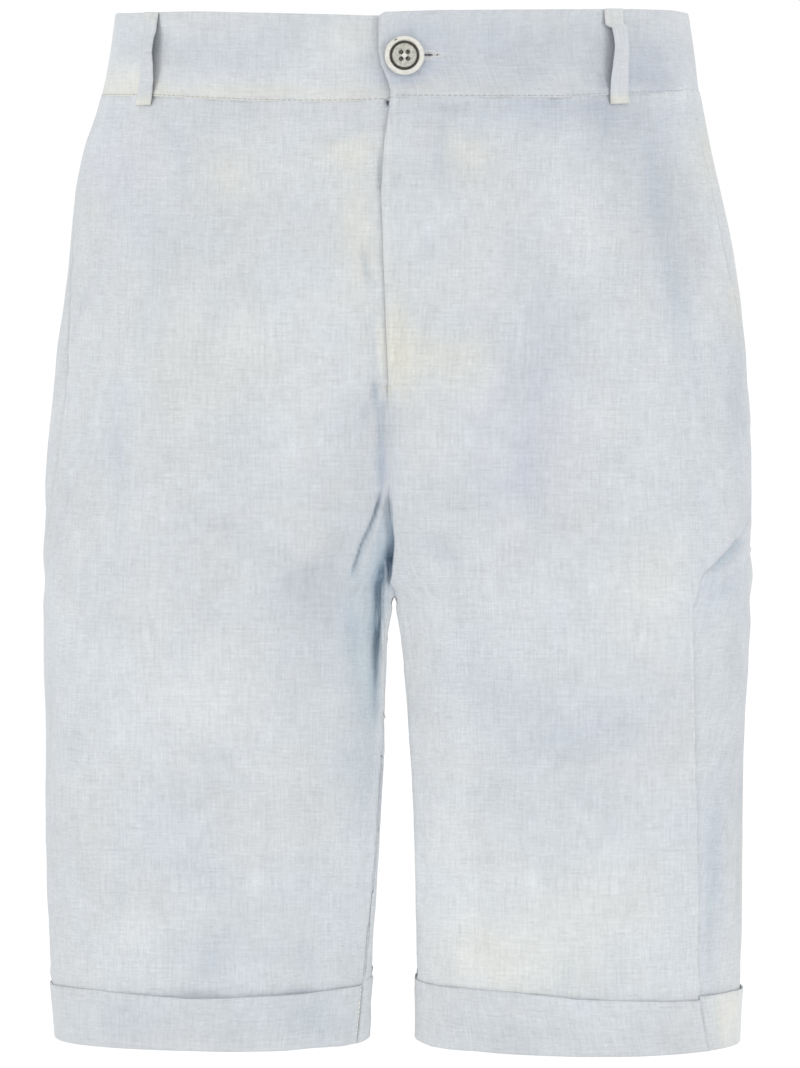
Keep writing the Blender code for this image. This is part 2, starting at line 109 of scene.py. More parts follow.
LEGS = table("level gap_right gap_left side_right side_left inseam_right inseam_left", [
    (24, 0, 0, 0.05, 0.28, 0, 0),
    (-22, 0, 0, 0.05, 0.28, 0, 0),
    (-71, 0, 0, 0.10, 0.30, 0, 0),
    (-103, 0, 0, 0.20, 0.30, 0, 0),
    (-134, 0, 0, 0.31, 0.24, 0, 0),
    (-187, 0, 0, 0.40, 0.15, 0, 0),
    (-225, 0, 0, 0.37, 0.17, 0, 0),
    (-254, 0, 0, 0.32, 0.28, 0, 0),
    (-283, 0, 0, 0.29, 0.43, 0, 0),
    (-302, 2.7, 2.7, 0.27, 0.53, 0.16, 0.05),
    (-325, 4.1, 5.0, 0.26, 0.62, 0.28, 0.10),
    (-355, 5.0, 7.6, 0.24, 0.67, 0.35, 0.13),
    (-397, 7.2, 9.6, 0.22, 0.69, 0.37, 0.15),
    (-449, 10.7, 10.9, 0.19, 0.69, 0.38, 0.17),
    (-516, 13.7, 11.9, 0.15, 0.69, 0.45, 0.20),
])

# On the left leg the outer seam turns to the front below the pocket.
OUTSEAM = table("level left", [
    (-187, 0.15), (-205, 0.15), (-225, 0.20), (-240, 0.31), (-254, 0.56), (-268, 0.80), (-283, 0.866),
    (-302, 0.866), (-325, 0.857), (-355, 0.844), (-397, 0.818), (-449, 0.791), (-487, 0.766), (-502, 0.727),
    (-516, 0.681),
])

FLY = table("level lap underlap dip", [
    (-22, 5.0, 14, 1.7),
    (-45, 8.0, 14, 1.7),
    (-71, 9.0, 14, 1.7),
    (-105, 7.0, 14, 1.7),
    (-168, 3.0, 14, 1.7),
    (-173, 0.0, 0, 1.7),
    (-178, 0.0, 0, 0.0),
])

FOLDS = table("side from_seam level tall wide depth lean", [
    (-1, -198, -252, 42, 20, -3.0, -0.36),
    (-1, -55, -350, 170, 30, 1.8, 0.02),
    (-1, -122, -410, 130, 34, -1.5, 0.03),
    (-1, 72, -340, 160, 34, -2.4, 0.06),
    (-1, 150, -400, 130, 38, 2.0, -0.05),
    (-1, 112, -180, 90, 46, 1.6, 0.25),
    (1, 14, -274, 30, 26, -3.0, 0.50),
    (1, -68, -420, 140, 32, 1.6, 0.00),
    (1, -136, -360, 150, 36, -1.4, 0.03),
    (1, 66, -410, 140, 36, -2.2, -0.04),
    (1, 146, -340, 160, 38, 2.1, 0.04),
    (1, 96, -170, 80, 48, 1.5, -0.30),
])

Oval = namedtuple("Oval", "centre half_width depth power")


# The form

def ease(value):
    """0 to 1 with soft ends."""
    value = np.clip(value, 0.0, 1.0)
    return value * value * (3 - 2 * value)


def between(value, start, end):
    """0 up to the start, 1 from the end on and a soft change between them."""
    return ease((value - start) / (end - start))


def cubic(t, start, end, start_slope, end_slope):
    """A place on the cubic that goes from start, where t is 0, to end, where t is 1."""
    return ((1 + 2 * t) * (1 - t) ** 2 * start + t * (1 - t) ** 2 * start_slope
            + t * t * (3 - 2 * t) * end - t * t * (1 - t) * end_slope)


def smooth(rows, column, level):
    """A column of a table at a level, on a cubic through its rows."""
    levels = np.array([row.level for row in rows], float)
    values = np.array([getattr(row, column) for row in rows], float)
    slopes = np.gradient(values, levels)
    level = min(max(level, levels[-1]), levels[0])
    above = min(int(np.searchsorted(-levels, -level, side="right")) - 1, len(rows) - 2)
    span = levels[above + 1] - levels[above]
    t = (level - levels[above]) / span
    return cubic(t, values[above], values[above + 1], span * slopes[above], span * slopes[above + 1])


def straight(rows, column, level):
    levels = [-row.level for row in rows]
    return float(np.interp(-level, levels, [getattr(row, column) for row in rows]))


def side_name(side):
    return "left" if side > 0 else "right"


def leg_gap(side, level):
    """How far a leg's inner edge lies from the middle plane."""
    return max(smooth(LEGS, "gap_" + side_name(side), level), 0.0)


def ovals(side, level):
    """The front and back ovals whose halves make a level, each cut off by the middle plane."""
    outer = smooth(SECTIONS, side_name(side), level)
    gap = leg_gap(side, level)
    pair = []
    for start, depth, power in (
        (FRONT_CURVE_START, smooth(SECTIONS, "front", level), smooth(SECTIONS, "front_power", level)),
        (BACK_CURVE_START, smooth(SECTIONS, "back", level), BACK_POWER),
    ):
        risen = min(max((level - CROTCH) / (start - CROTCH), 0.0), 1.0)
        shut = (1 - risen ** CURVE_EASE) ** CURVE_EASE
        inner = gap if level <= CROTCH else -outer * (1 - shut) / (1 + shut)
        pair.append(Oval((outer + inner) / 2, (outer - inner) / 2, depth, power))
    return pair


def oval_points(oval, facing, start, end):
    """Points on an oval between two angles: 0 is the outer side and pi the inner one."""
    angles = np.linspace(start, end, RUN_STEPS)
    across, deep = np.cos(angles), np.sin(angles)
    x = oval.centre + oval.half_width * np.sign(across) * np.abs(across) ** (2 / oval.power)
    y = facing * oval.depth * np.abs(deep) ** (2 / oval.power)
    return np.column_stack((x, y))


def angle_across(oval, x):
    share = (x - oval.centre) / oval.half_width
    return math.acos(math.copysign(min(abs(share), 1.0) ** (oval.power / 2), share))


def angle_forward(oval, share):
    return math.asin(share ** (oval.power / 2))


def seam_share(side, level):
    """How far forward a leg's outer seam lies, as a share of the front oval's depth."""
    if side > 0 and level < OUTSEAM[0].level:
        return smooth(OUTSEAM, "left", level)
    return smooth(LEGS, "side_" + side_name(side), level)


class Run:
    """One half of a level, measured along the cloth from its front end."""

    def __init__(self, side, level, lap=0.0):
        self.side, self.level = side, level
        self.middle = smooth(SECTIONS, "middle", level)
        front, back = ovals(side, level)
        self.below = level <= CROTCH
        forward = max(smooth(LEGS, "inseam_" + side_name(side), level), 0.0)
        inseam = math.pi - angle_forward(front, forward)
        seam = angle_forward(front, seam_share(side, level))
        start = inseam if self.below else angle_across(front, -lap)
        end = math.pi if self.below else angle_across(back, 0.0)
        to_side = oval_points(front, -1, start, seam)
        parts = [to_side, oval_points(front, -1, seam, 0)[1:], oval_points(back, 1, 0, end)[1:]]
        if self.below:
            parts.append(oval_points(front, -1, math.pi, inseam)[1:])
        points = np.concatenate(parts)
        steps = np.linalg.norm(np.diff(points, axis=0), axis=1)
        apart = steps > 1e-6
        self.points = points[np.concatenate(([True], apart))]
        self.reach = np.concatenate(([0.0], np.cumsum(steps[apart])))
        self.slopes = np.gradient(self.points, self.reach, axis=0)
        self.seam = self.reach[np.argmin(np.linalg.norm(self.points - to_side[-1], axis=1))]
        self.length = self.reach[-1]
        share = smooth(LEGS, "side_" + side_name(side), level)
        line = oval_points(front, -1, start, angle_forward(front, share))[-1]
        near = np.argmin(np.linalg.norm(self.points - line, axis=1))
        self.side_line = self.reach[near] + float((line - self.points[near]) @ self.slopes[near])

    def at(self, distances):
        """The points at distances along the run, and the way out of the form there."""
        inside = np.clip(distances, 0.0, self.length)
        spot = np.stack([np.interp(inside, self.reach, self.points[:, i]) for i in (0, 1)], -1)
        slope = np.stack([np.interp(inside, self.reach, self.slopes[:, i]) for i in (0, 1)], -1)
        slope /= np.linalg.norm(slope, axis=-1, keepdims=True)
        spot = spot + (distances - inside)[..., None] * slope
        x = self.middle + self.side * (spot[..., 0] + HALF_GAP)
        level = np.full_like(x, self.level)
        out = np.stack([self.side * slope[..., 1], -slope[..., 0], np.zeros_like(x)], -1)
        return np.stack([x, spot[..., 1], level], -1), out

    def across(self, distances):
        return np.interp(distances, self.reach, self.points[:, 0])

    def distance_at(self, across, behind):
        """The distance to the point that far from the middle plane on the front or on the back."""
        outermost = int(np.argmax(self.points[:, 0]))
        half = slice(None, outermost, -1) if behind else slice(0, outermost)
        places, reach = self.points[half, 0], self.reach[half]
        first = int(np.argmin(places))
        return float(np.interp(across, places[first:], reach[first:]))


def folds_at(side, from_seam, level):
    """How far the folds that the solids have move the cloth out."""
    out = np.zeros_like(from_seam)
    for fold in FOLDS:
        if fold.side == side:
            climb = level - fold.level
            off = np.clip((from_seam - fold.from_seam - fold.lean * climb) / fold.wide, -1, 1)
            tall = np.clip(climb / fold.tall, -1, 1)
            out += fold.depth * (1 - off ** 2) ** 2 * (1 - tall ** 2) ** 2
    return out


# Lattice noise, the same at each run

LATTICE = np.random.default_rng(7).random((32, 32, 32))


def noise(points, size, shift=0.0):
    """Smooth noise from -1 to 1 at points, with lumps of a size."""
    spot = points / size + 100 + shift
    cell = np.floor(spot).astype(int)
    part = ease(spot - cell)
    total = np.zeros(points.shape[:-1])
    for corner in np.ndindex(2, 2, 2):
        weight = np.prod(np.where(np.array(corner), part, 1 - part), axis=-1)
        at = (cell + np.array(corner)) % 32
        total += weight * LATTICE[at[..., 0], at[..., 1], at[..., 2]]
    return total * 2 - 1


def layered(points, *layers):
    """Noise in layers, each a height, a size of lump and a shift."""
    return sum(height * noise(points, size, shift) for height, size, shift in layers)


# Creases, by place (front, back or round) and side. A path's points are millimetres: across (X on a front
# or a back, the distance from the side seam, over 0 towards the back, on round) and the level. Depth is over
# 0 for a ridge. Sharp is 0 for a soft fold and 1 for a pressed one. Lip is how much of the depth stands up
# beside it, on its left as the path runs. Head and tail are the shares of the path over which it fades.

Crease = namedtuple("Crease", "path width depth sharp lip head tail")
CREASES = {
    ("front", -1): [
        # the whisker from the crotch down the wearer's right thigh, and the roll of cloth beside it
        ([(-8.6, -216), (-11.4, -235), (-14.6, -246), (-19.2, -256), (-26.4, -276)],
         2.3, -3.3, 0.3, 0.2, 0.3, 0.15),
        ([(-8.5, -172), (-10, -196), (-9.4, -228)], 4.6, -2.0, 0.1, -0.3, 0.2, 0.2),
        ([(-9.4, -270), (-8.9, -300), (-8.0, -350)], 1.1, 0.9, 0.2, 0.0, 0.15, 0.4),
        ([(-7.7, -274), (-7.4, -300), (-6.9, -360)], 0.9, 0.8, 0.2, 0.0, 0.15, 0.4),
        ([(-12.2, -276), (-11.6, -290), (-11.0, -306)], 1.0, 1.0, 0.2, 0.0, 0.3, 0.4),
        ([(-28, -272), (-24, -300), (-22, -330)], 7, -1.4, 0.2, -0.5, 0.4, 0.6),
        # the opening just under the band, at the left of the fly
        ([(-6.1, -20.8), (-6.4, -22.6), (-5.9, -25.4)], 1.0, -5.0, 0.2, 0.0, 0.2, 0.5),
        # the wearer's right front, from the band down
        ([(-14, -28), (-30, -40), (-52, -44)], 9, -1.0, 0.2, -0.8, 0.2, 0.6),
        ([(-9.7, -46), (-10.2, -60), (-9.8, -76)], 2.0, -1.4, 0.2, 0.0, 0.3, 0.4),
        ([(-19.4, -96), (-17.4, -112), (-15.0, -128)], 3.6, -1.6, 0.1, 0.5, 0.4, 0.5),
        ([(-15.2, -124), (-14.2, -150), (-12.6, -172)], 3.0, -1.0, 0.2, 0.6, 0.3, 0.2),
        ([(-13.6, -166), (-12.9, -176), (-12.2, -188)], 3.6, -2.1, 0.2, 0.2, 0.3, 0.5),
        ([(-12, -174), (-20, -190), (-22, -214)], 8, -1.2, 0.2, 0.3, 0.3, 0.6),
        ([(-120, -30), (-112, -60), (-114, -96)], 12, -0.9, 0.1, -0.6, 0.2, 0.7),
        ([(-60, -30), (-66, -58), (-64, -92)], 11, 0.7, 0.1, 0.0, 0.2, 0.7),
        ([(-150, -130), (-146, -220), (-149, -330)], 10, -1.0, 0.0, 0.0, 0.4, 0.5),
        ([(-30, -262), (-56, -274), (-92, -270)], 13, -0.8, 0.1, -0.7, 0.3, 0.7),
        ([(-38, -292), (-70, -318), (-110, -326)], 16, -0.8, 0.1, -0.6, 0.3, 0.7),
        ([(-18, -350), (-36, -396), (-62, -430)], 14, 0.8, 0.1, -0.5, 0.4, 0.6),
        ([(-150, -350), (-146, -420), (-150, -486)], 8, -0.8, 0.1, 0.4, 0.4, 0.3),
        ([(-100, -486), (-96, -462), (-84, -440)], 12, -0.9, 0.1, -0.6, 0.2, 0.7),
        ([(-44, -487), (-50, -464), (-62, -446)], 10, -0.8, 0.1, -0.6, 0.2, 0.7),
    ],
    ("front", 1): [
        # the wearer's left front
        ([(26, -31), (21, -42), (20, -58), (22, -72)], 5.5, -1.2, 0.2, 0.6, 0.25, 0.6),
        ([(44, -27), (40, -36), (39, -47)], 5, -0.8, 0.2, 0.4, 0.2, 0.6),
        ([(112, -28), (106, -42), (104, -58)], 7, -1.2, 0.2, 0.5, 0.2, 0.6),
        ([(124, -30), (138, -96), (150, -160), (156, -214)], 17, -1.5, 0.0, -0.5, 0.2, 0.5),
        ([(178, -252), (173, -258), (164, -266), (156, -270)], 4.6, -2.4, 0.3, 0.7, 0.12, 0.5),
        ([(168, -276), (160, -292), (158, -318)], 9, -1.0, 0.1, 0.5, 0.4, 0.6),
        ([(60, -170), (68, -230), (72, -284)], 18, -1.0, 0.0, -0.4, 0.4, 0.5),
        ([(6, -240), (26, -262), (58, -272)], 12, -0.8, 0.1, -0.6, 0.3, 0.7),
        ([(10, -300), (34, -330), (70, -344)], 15, -0.8, 0.1, -0.5, 0.3, 0.7),
        ([(164, -380), (163, -430), (160, -484)], 7, -1.3, 0.1, 0.4, 0.4, 0.2),
        ([(84, -488), (88, -468), (100, -446)], 10, -0.9, 0.1, -0.6, 0.2, 0.7),
        ([(20, -486), (28, -462), (46, -438)], 11, -0.8, 0.1, -0.6, 0.2, 0.7),
        ([(174, -484), (176, -474), (178, -462)], 5, -0.5, 0.3, 0.8, 0.1, 0.6),
    ],
    ("round", -1): [
        # round the hips and thighs
        ([(30, -40), (24, -90), (34, -150)], 15, -1.4, 0.0, -0.5, 0.2, 0.6),
        ([(60, -210), (30, -238), (6, -250)], 12, -1.4, 0.1, -0.7, 0.5, 0.3),
        ([(66, -262), (34, -274), (10, -280)], 10, -1.0, 0.1, -0.7, 0.5, 0.3),
        ([(50, -330), (44, -400), (54, -480)], 13, -1.3, 0.1, -0.5, 0.4, 0.3),
    ],
    ("round", 1): [
        ([(34, -46), (44, -100), (36, -170)], 16, -1.5, 0.0, -0.5, 0.2, 0.6),
        ([(16, -262), (44, -250), (84, -222)], 12, -1.5, 0.1, -0.7, 0.3, 0.6),
        ([(20, -286), (56, -284), (98, -262)], 11, -1.1, 0.1, -0.7, 0.3, 0.6),
        ([(34, -340), (30, -410), (40, -486)], 12, -1.3, 0.1, -0.5, 0.4, 0.3),
    ],
    ("back", -1): [
        # the seat: drag lines from the crotch, and the folds under the seat
        ([(-6, -262), (-40, -242), (-86, -236), (-124, -246)], 10, -2.2, 0.2, -0.7, 0.15, 0.6),
        ([(-8, -282), (-46, -268), (-98, -268)], 9, -1.7, 0.2, -0.7, 0.15, 0.6),
        ([(-10, -236), (-44, -206), (-96, -190)], 12, -1.2, 0.1, -0.6, 0.2, 0.7),
        ([(-14, -300), (-38, -330), (-52, -372)], 12, -1.4, 0.1, -0.6, 0.2, 0.7),
        ([(-96, -300), (-90, -370), (-100, -450)], 17, 1.4, 0.0, 0.0, 0.4, 0.5),
        ([(-130, -290), (-126, -380), (-132, -486)], 12, -1.5, 0.1, -0.5, 0.4, 0.3),
        ([(-60, -486), (-64, -456), (-76, -430)], 11, -1.2, 0.1, -0.6, 0.2, 0.7),
        ([(-64, -28), (-60, -56), (-68, -92)], 10, -1.1, 0.1, -0.6, 0.15, 0.7),
        ([(-22, -28), (-28, -48), (-26, -70)], 8, -0.8, 0.1, -0.6, 0.15, 0.7),
    ],
    ("back", 1): [
        ([(4, -256), (36, -232), (80, -222), (118, -234)], 11, -2.0, 0.2, -0.7, 0.15, 0.6),
        ([(6, -280), (42, -262), (84, -256), (120, -262)], 9, -1.9, 0.2, -0.7, 0.15, 0.6),
        ([(8, -222), (38, -186), (84, -166)], 13, -1.2, 0.1, -0.6, 0.2, 0.7),
        ([(12, -296), (40, -318), (62, -352)], 12, -1.5, 0.1, -0.6, 0.2, 0.7),
        ([(88, -310), (94, -380), (88, -466)], 17, 1.5, 0.0, 0.0, 0.4, 0.5),
        ([(124, -300), (130, -390), (124, -486)], 12, -1.4, 0.1, -0.5, 0.4, 0.3),
        ([(48, -488), (54, -462), (68, -446)], 10, -1.1, 0.1, -0.6, 0.2, 0.7),
        ([(70, -28), (76, -60), (72, -100)], 11, -1.0, 0.1, -0.6, 0.15, 0.7),
        ([(26, -28), (22, -44), (28, -64)], 8, -0.8, 0.1, -0.6, 0.15, 0.7),
    ],
}
PATH_STEPS = 20
CREASE_TURN = 8.0                          # how far past the middle the front's creases still reach


def curve_through(points, steps=PATH_STEPS):
    """Points on a smooth curve through a few points."""
    points = np.array(points, float)
    slopes = np.gradient(points, axis=0)
    found = []
    for spot in np.linspace(0, len(points) - 1, steps):
        i = min(int(spot), len(points) - 2)
        found.append(cubic(spot - i, points[i], points[i + 1], slopes[i], slopes[i + 1]))
    return np.array(found)


def crease_at(crease, across, level):
    """How far one crease moves the cloth out."""
    out = np.zeros_like(across)
    path = curve_through(crease.path)
    reach = 2.6 * crease.width
    low, high = path.min(0) - reach, path.max(0) + reach
    near = (across > low[0]) & (across < high[0]) & (level > low[1]) & (level < high[1])
    if not near.any():
        return out
    spots = np.stack([across[near], level[near]], -1)[:, None]
    starts, ways = path[:-1], np.diff(path, axis=0)
    shares = np.clip(((spots - starts) * ways).sum(-1) / (ways ** 2).sum(-1), 0, 1)
    gaps = spots - starts - shares[..., None] * ways
    distance = np.linalg.norm(gaps, axis=-1)
    best = distance.argmin(1)
    pick = np.arange(len(best))
    way, gap = ways[best], gaps[pick, best]
    left = np.sign(way[:, 0] * gap[:, 1] - way[:, 1] * gap[:, 0])
    s = left * distance[pick, best] / crease.width
    along = (best + shares[pick, best]) / len(ways)
    soft, pressed = np.exp(-3 * s ** 2), np.exp(-3 * np.abs(s))
    middle = soft + (pressed - soft) * crease.sharp
    lip = crease.lip * np.exp(-2.5 * (s - 1.15) ** 2)
    if crease.lip < 0:
        lip = -crease.lip * (np.exp(-2.5 * (s - 1.15) ** 2) + np.exp(-2.5 * (s + 1.15) ** 2)) / 2
    fade = ease(along / crease.head) * ease((1 - along) / crease.tail)
    out[near] = crease.depth * (middle - lip) * fade
    return out


def creases_at(side, points, from_seam):
    x, y, level = points[..., 0], points[..., 1], points[..., 2]
    out = np.zeros_like(x)
    behind = between(y, -CREASE_TURN, CREASE_TURN)
    for place, across, share in (("front", x, 1 - behind), ("round", from_seam, 1.0), ("back", x, behind)):
        for row in CREASES[place, side]:
            out += crease_at(Crease(*row), across, level) * share
    return out


# The cloth's colour, as soft patches of a few tints; those marked are painted shade or painted light. In
# millimetres: X and level, and the reach across and up.

TINTS = {                                   # how much each changes the colour, in shares of full scale
    "cream": (0.022, 0.013, -0.012),
    "pale": (0.028, 0.028, 0.027),
    "blue": (-0.030, -0.024, -0.010),
    "grey": (-0.034, -0.032, -0.026),
    "lilac": (-0.012, -0.018, -0.005),
    "teal": (-0.045, -0.026, -0.016),
}
BASE_DYE = (0.742, 0.757, 0.771)
CLOUD, WARMTH = 0.013, (0.006, 0.0012, -0.0048)
DYE_TURN = 25.0                             # how far past the middle the front's patches still reach
PAINTED_FOLD_SHADE, PAINTED_FOLD_SHADE_DEPTH = (-0.33, -0.22, -0.125), 14.0   # painted shade: darker and bluer where the cloth lies deep in folds and hollows
RIDGE_HIGHLIGHT_AND_WEAR, RIDGE_HIGHLIGHT_HEIGHT = (0.045, 0.040, 0.028), 3.0          # and painted highlight, with some real wear, lighter where the cloth stands up

PATCHES = {                                 # by cloth, whether on the back, and tint: strength, place, reach
    ("band", False): {
        "cream": [(1.0, -142, -16, 26, 9), (0.8, -60, -20, 90, 5), (0.6, -24, 8, 18, 12)],
        # the pale patches at -123, 14 and -126, -12 are painted light over the shadow beside the wearer's
        # right front loop
        "pale": [(0.5, -146, -8, 14, 22), (0.3, 150, 0, 8, 30), (1.5, -123, 14, 14, 7),
            (1.1, -126, -12, 14, 7)],
        # the grey patch at 105.5, -15 is painted shadow beside the foot of the wearer's left front loop
        "grey": [(0.5, -90, 8, 40, 14), (0.5, 24, -10, 24, 16), (0.9, 60, 6, 60, 30),
            (0.9, 128, -2, 18, 20), (0.3, 150, -4, 14, 20), (1.3, 105.5, -15, 2.6, 7),
            (1.2, 128, -13, 18, 5)],
        # the blue patches at 2, -3; 14, -7; 5, 11 and 5, -14 are painted shadow round the button
        "blue": [(0.9, 122, -8, 18, 16), (1.5, 2.0, -3, 12, 12), (0.8, 14, -7, 8, 6), (1.0, 5, 11, 13, 6),
            (0.7, -92, 2, 34, 14), (0.6, 60, 8, 40, 12), (1.0, 5, -14, 9, 5)],
    },
    ("loop", False): {
        "cream": [(1.7, 0, -25, 300, 3.4), (0.9, 0, 20, 300, 4.5)],
        "lilac": [(0.7, 118, 0, 20, 14)],
        "blue": [(0.5, -136, 0, 20, 14)],
    },
    ("loop", True): {
        "cream": [(1.2, 0, -25, 300, 3.4)],
        "grey": [(0.5, 0, 2, 300, 10)],
    },
    ("panel", False): {
        # the grey patches at levels -26 to -32, just under the band, are painted shade below its seam and the
        # loops' feet
        "grey": [(0.5, -60, -30, 90, 8), (0.7, 118, -32, 28, 12), (1.0, 142, -92, 18, 40),
            # the grey patches at -12, -182 and -26, -196, and the blue one at -10, -212, are painted shade in
            # the folds at the fly's end
            (0.8, -12, -182, 10, 14), (0.6, -26, -196, 14, 28), (0.9, 120, -58, 22, 34),
            (1.2, 22, -60, 9, 12), (0.5, 72, -130, 16, 60), (0.9, 175, -166, 10, 26),
            (1.1, 26, -28, 12, 3), (1.0, 103, -28, 7, 4), (0.8, 76, -26, 22, 2.6),
            (0.5, -56, -284, 20, 16), (0.3, 176, -400, 10, 120), (0.8, 179, -300, 9, 130)],
        "blue": [(1.1, 66, -31, 60, 10), (0.7, 68, -158, 18, 26), (0.5, 60, -214, 26, 30),
            (0.6, 178, -176, 8, 30), (1.2, -10, -212, 6, 22), (0.9, -42, -288, 22, 22),
            (0.5, -104, -420, 16, 16), (0.5, -94, -462, 14, 20), (0.8, 98, -350, 36, 20),
            (0.4, 50, -340, 20, 30), (0.9, 164, -274, 14, 12), (0.8, 163, -440, 6, 60)],
        "lilac": [(0.7, -147, -58, 16, 20), (0.9, 62, -196, 22, 40)],
        "cream": [(0.5, -86, -62, 12, 16), (0.8, -30, -52, 16, 14), (0.7, 36, -50, 11, 14),
            (0.9, 160, -52, 10, 22), (1.0, -23, -96, 12, 34), (1.4, -1, -148, 9, 26),
            (1.0, 20, -154, 22, 14), (0.5, 40, -168, 20, 18), (0.5, -104, -158, 40, 36),
            (0.4, 132, -272, 16, 24), (0.9, 56, -470, 36, 22), (0.4, 100, -440, 34, 24),
            (0.6, 182, -430, 8, 80), (0.7, 180, -120, 7, 40)],
        "pale": [(0.4, 96, -70, 24, 20), (0.2, -100, -140, 60, 60), (0.25, 128, -200, 22, 60),
            (0.6, -110, -310, 60, 46), (0.4, -146, -400, 14, 100), (0.7, -60, -378, 28, 30),
            (0.7, -138, -464, 26, 18), (0.8, 34, -410, 22, 84), (0.6, 110, -288, 46, 28),
            (0.9, 76, -452, 62, 36), (0.7, 34, -474, 20, 10), (0.6, -150, -457, 14, 12)],
        "teal": [(0.4, -22, -300, 12, 60), (0.6, -18, -350, 12, 70)],
    },
    ("cuff", False): {
        "blue": [(0.9, -142, -506, 14, 11)],
        "teal": [(0.6, -42, -496, 16, 12)],
        "grey": [(0.3, -80, -500, 60, 16), (0.4, 60, -510, 24, 10)],
        "pale": [(0.6, 88, -494, 24, 12), (0.8, 178, -500, 8, 20)],
        "cream": [(0.9, 176, -500, 9, 20)],
    },
    ("band", True): {
        "cream": [(0.8, 60, -18, 50, 8)],
        "grey": [(0.7, -70, 4, 50, 18)],
        "pale": [(0.5, 20, 8, 26, 14)],
    },
    ("panel", True): {
        "cream": [(0.9, -80, -60, 30, 24), (0.9, 10, -140, 20, 40), (0.7, 60, -430, 40, 40),
            (0.6, -130, -460, 20, 24)],
        "blue": [(0.9, 70, -44, 44, 16), (0.8, -60, -180, 34, 28), (0.7, 120, -360, 24, 36)],
        "lilac": [(0.8, 120, -120, 22, 40), (0.6, -70, -440, 30, 30)],
        "pale": [(0.7, 80, -170, 44, 40), (0.8, -104, -330, 40, 50)],
        "grey": [(0.7, -120, -110, 20, 50)],
        "teal": [(0.6, -20, -290, 20, 50), (0.5, 22, -300, 18, 50)],
    },
    ("cuff", True): {
        "pale": [(0.6, -90, -500, 40, 14)],
        "blue": [(0.6, 70, -504, 34, 12)],
        "cream": [(0.6, 130, -496, 24, 12)],
    },
}


def linear(colour):
    colour = np.clip(colour, 0, 1)
    return np.where(colour < 0.04045, colour / 12.92, ((colour + 0.055) / 1.055) ** 2.4)


def colour_and_shade_at(grid, kind):
    """The cloth's colour over a grid, by the patches and a light cloudiness of its own, with painted shade in
    the folds and hollows and painted highlight on the ridges.
    """
    points = grid.points
    drift = np.stack([layered(points, (1.0, 34, shift), (0.5, 13, shift)) for shift in (1, 2)], -1)
    behind = between(points[..., 1], -DYE_TURN, DYE_TURN)
    colour = np.full(points.shape, BASE_DYE)
    patches = [(share, tint, row) for on_back, share in ((False, 1 - behind), (True, behind))
               for tint, rows in PATCHES.get((kind, on_back), {}).items() for row in rows]
    for share, tint, (strength, x, z, wide, tall) in patches:
        wander = min(7, 0.5 * min(wide, tall))
        across = points[..., 0] + wander * drift[..., 0] - x
        level = points[..., 2] + wander * drift[..., 1] - z
        weight = strength * np.exp(-0.9 * ((across / wide) ** 2 + (level / tall) ** 2)) * share
        colour = colour + weight[..., None] * np.array(TINTS[tint])
    cloud = layered(points, (1.0, 48, 5), (0.6, 21, 6), (0.35, 9, 7))
    warmth = layered(points, (1.0, 40, 8), (0.6, 16, 9))
    colour = colour + CLOUD * cloud[..., None] + warmth[..., None] * np.array(WARMTH)
    # painted shade where the cloth lies deep, painted highlight where it stands up
    if grid.sunk is not None:
        for depth, reach, change in ((grid.sunk, PAINTED_FOLD_SHADE_DEPTH, PAINTED_FOLD_SHADE), (-grid.sunk, RIDGE_HIGHLIGHT_HEIGHT, RIDGE_HIGHLIGHT_AND_WEAR)):
            colour = colour + (1 - np.exp(-np.maximum(depth, 0) / reach))[..., None] * np.array(change)
    return linear(colour)


# Meshes

def grid_normals(points, side):
    """The way out at each point of a grid whose rows go down and run away from the front."""
    along, down = np.gradient(points, axis=1), np.gradient(points, axis=0)
    normals = side * np.cross(down, along)
    return normals / np.maximum(np.linalg.norm(normals, axis=-1, keepdims=True), 1e-9)


def unit(vectors):
    return vectors / np.maximum(np.linalg.norm(vectors, axis=-1, keepdims=True), 1e-9)


def placed(name, data):
    """A new object in the scene."""
    thing = bpy.data.objects.new(name, data)
    bpy.context.scene.collection.objects.link(thing)
    return thing


def new_object(name, points, faces, attributes):
    """A smooth object from points in millimetres, with a vector or a colour for each point."""
    mesh = bpy.data.meshes.new(name)
    mesh.from_pydata((points * MM).tolist(), [], faces.tolist())
    mesh.shade_smooth()
    for key, values in attributes.items():
        if values.shape[1] == 4:
            layer = mesh.color_attributes.new(key, "FLOAT_COLOR", "POINT")
            layer.data.foreach_set("color", values.astype(np.float32).ravel())
        else:
            layer = mesh.attributes.new(key, "FLOAT_VECTOR", "POINT")
            layer.data.foreach_set("vector", values.astype(np.float32).ravel())
    return placed(name, mesh)


def quads(index, side):
    """The faces of a grid of point numbers, facing out."""
    faces = np.stack([index[:-1, :-1], index[1:, :-1], index[1:, 1:], index[:-1, 1:]], -1).reshape(-1, 4)
    return faces if side > 0 else faces[:, ::-1]


EDGE_OUT, EDGE_IN = 0.42, 0.5              # where a wall's edge lies past and behind its face, in thicknesses


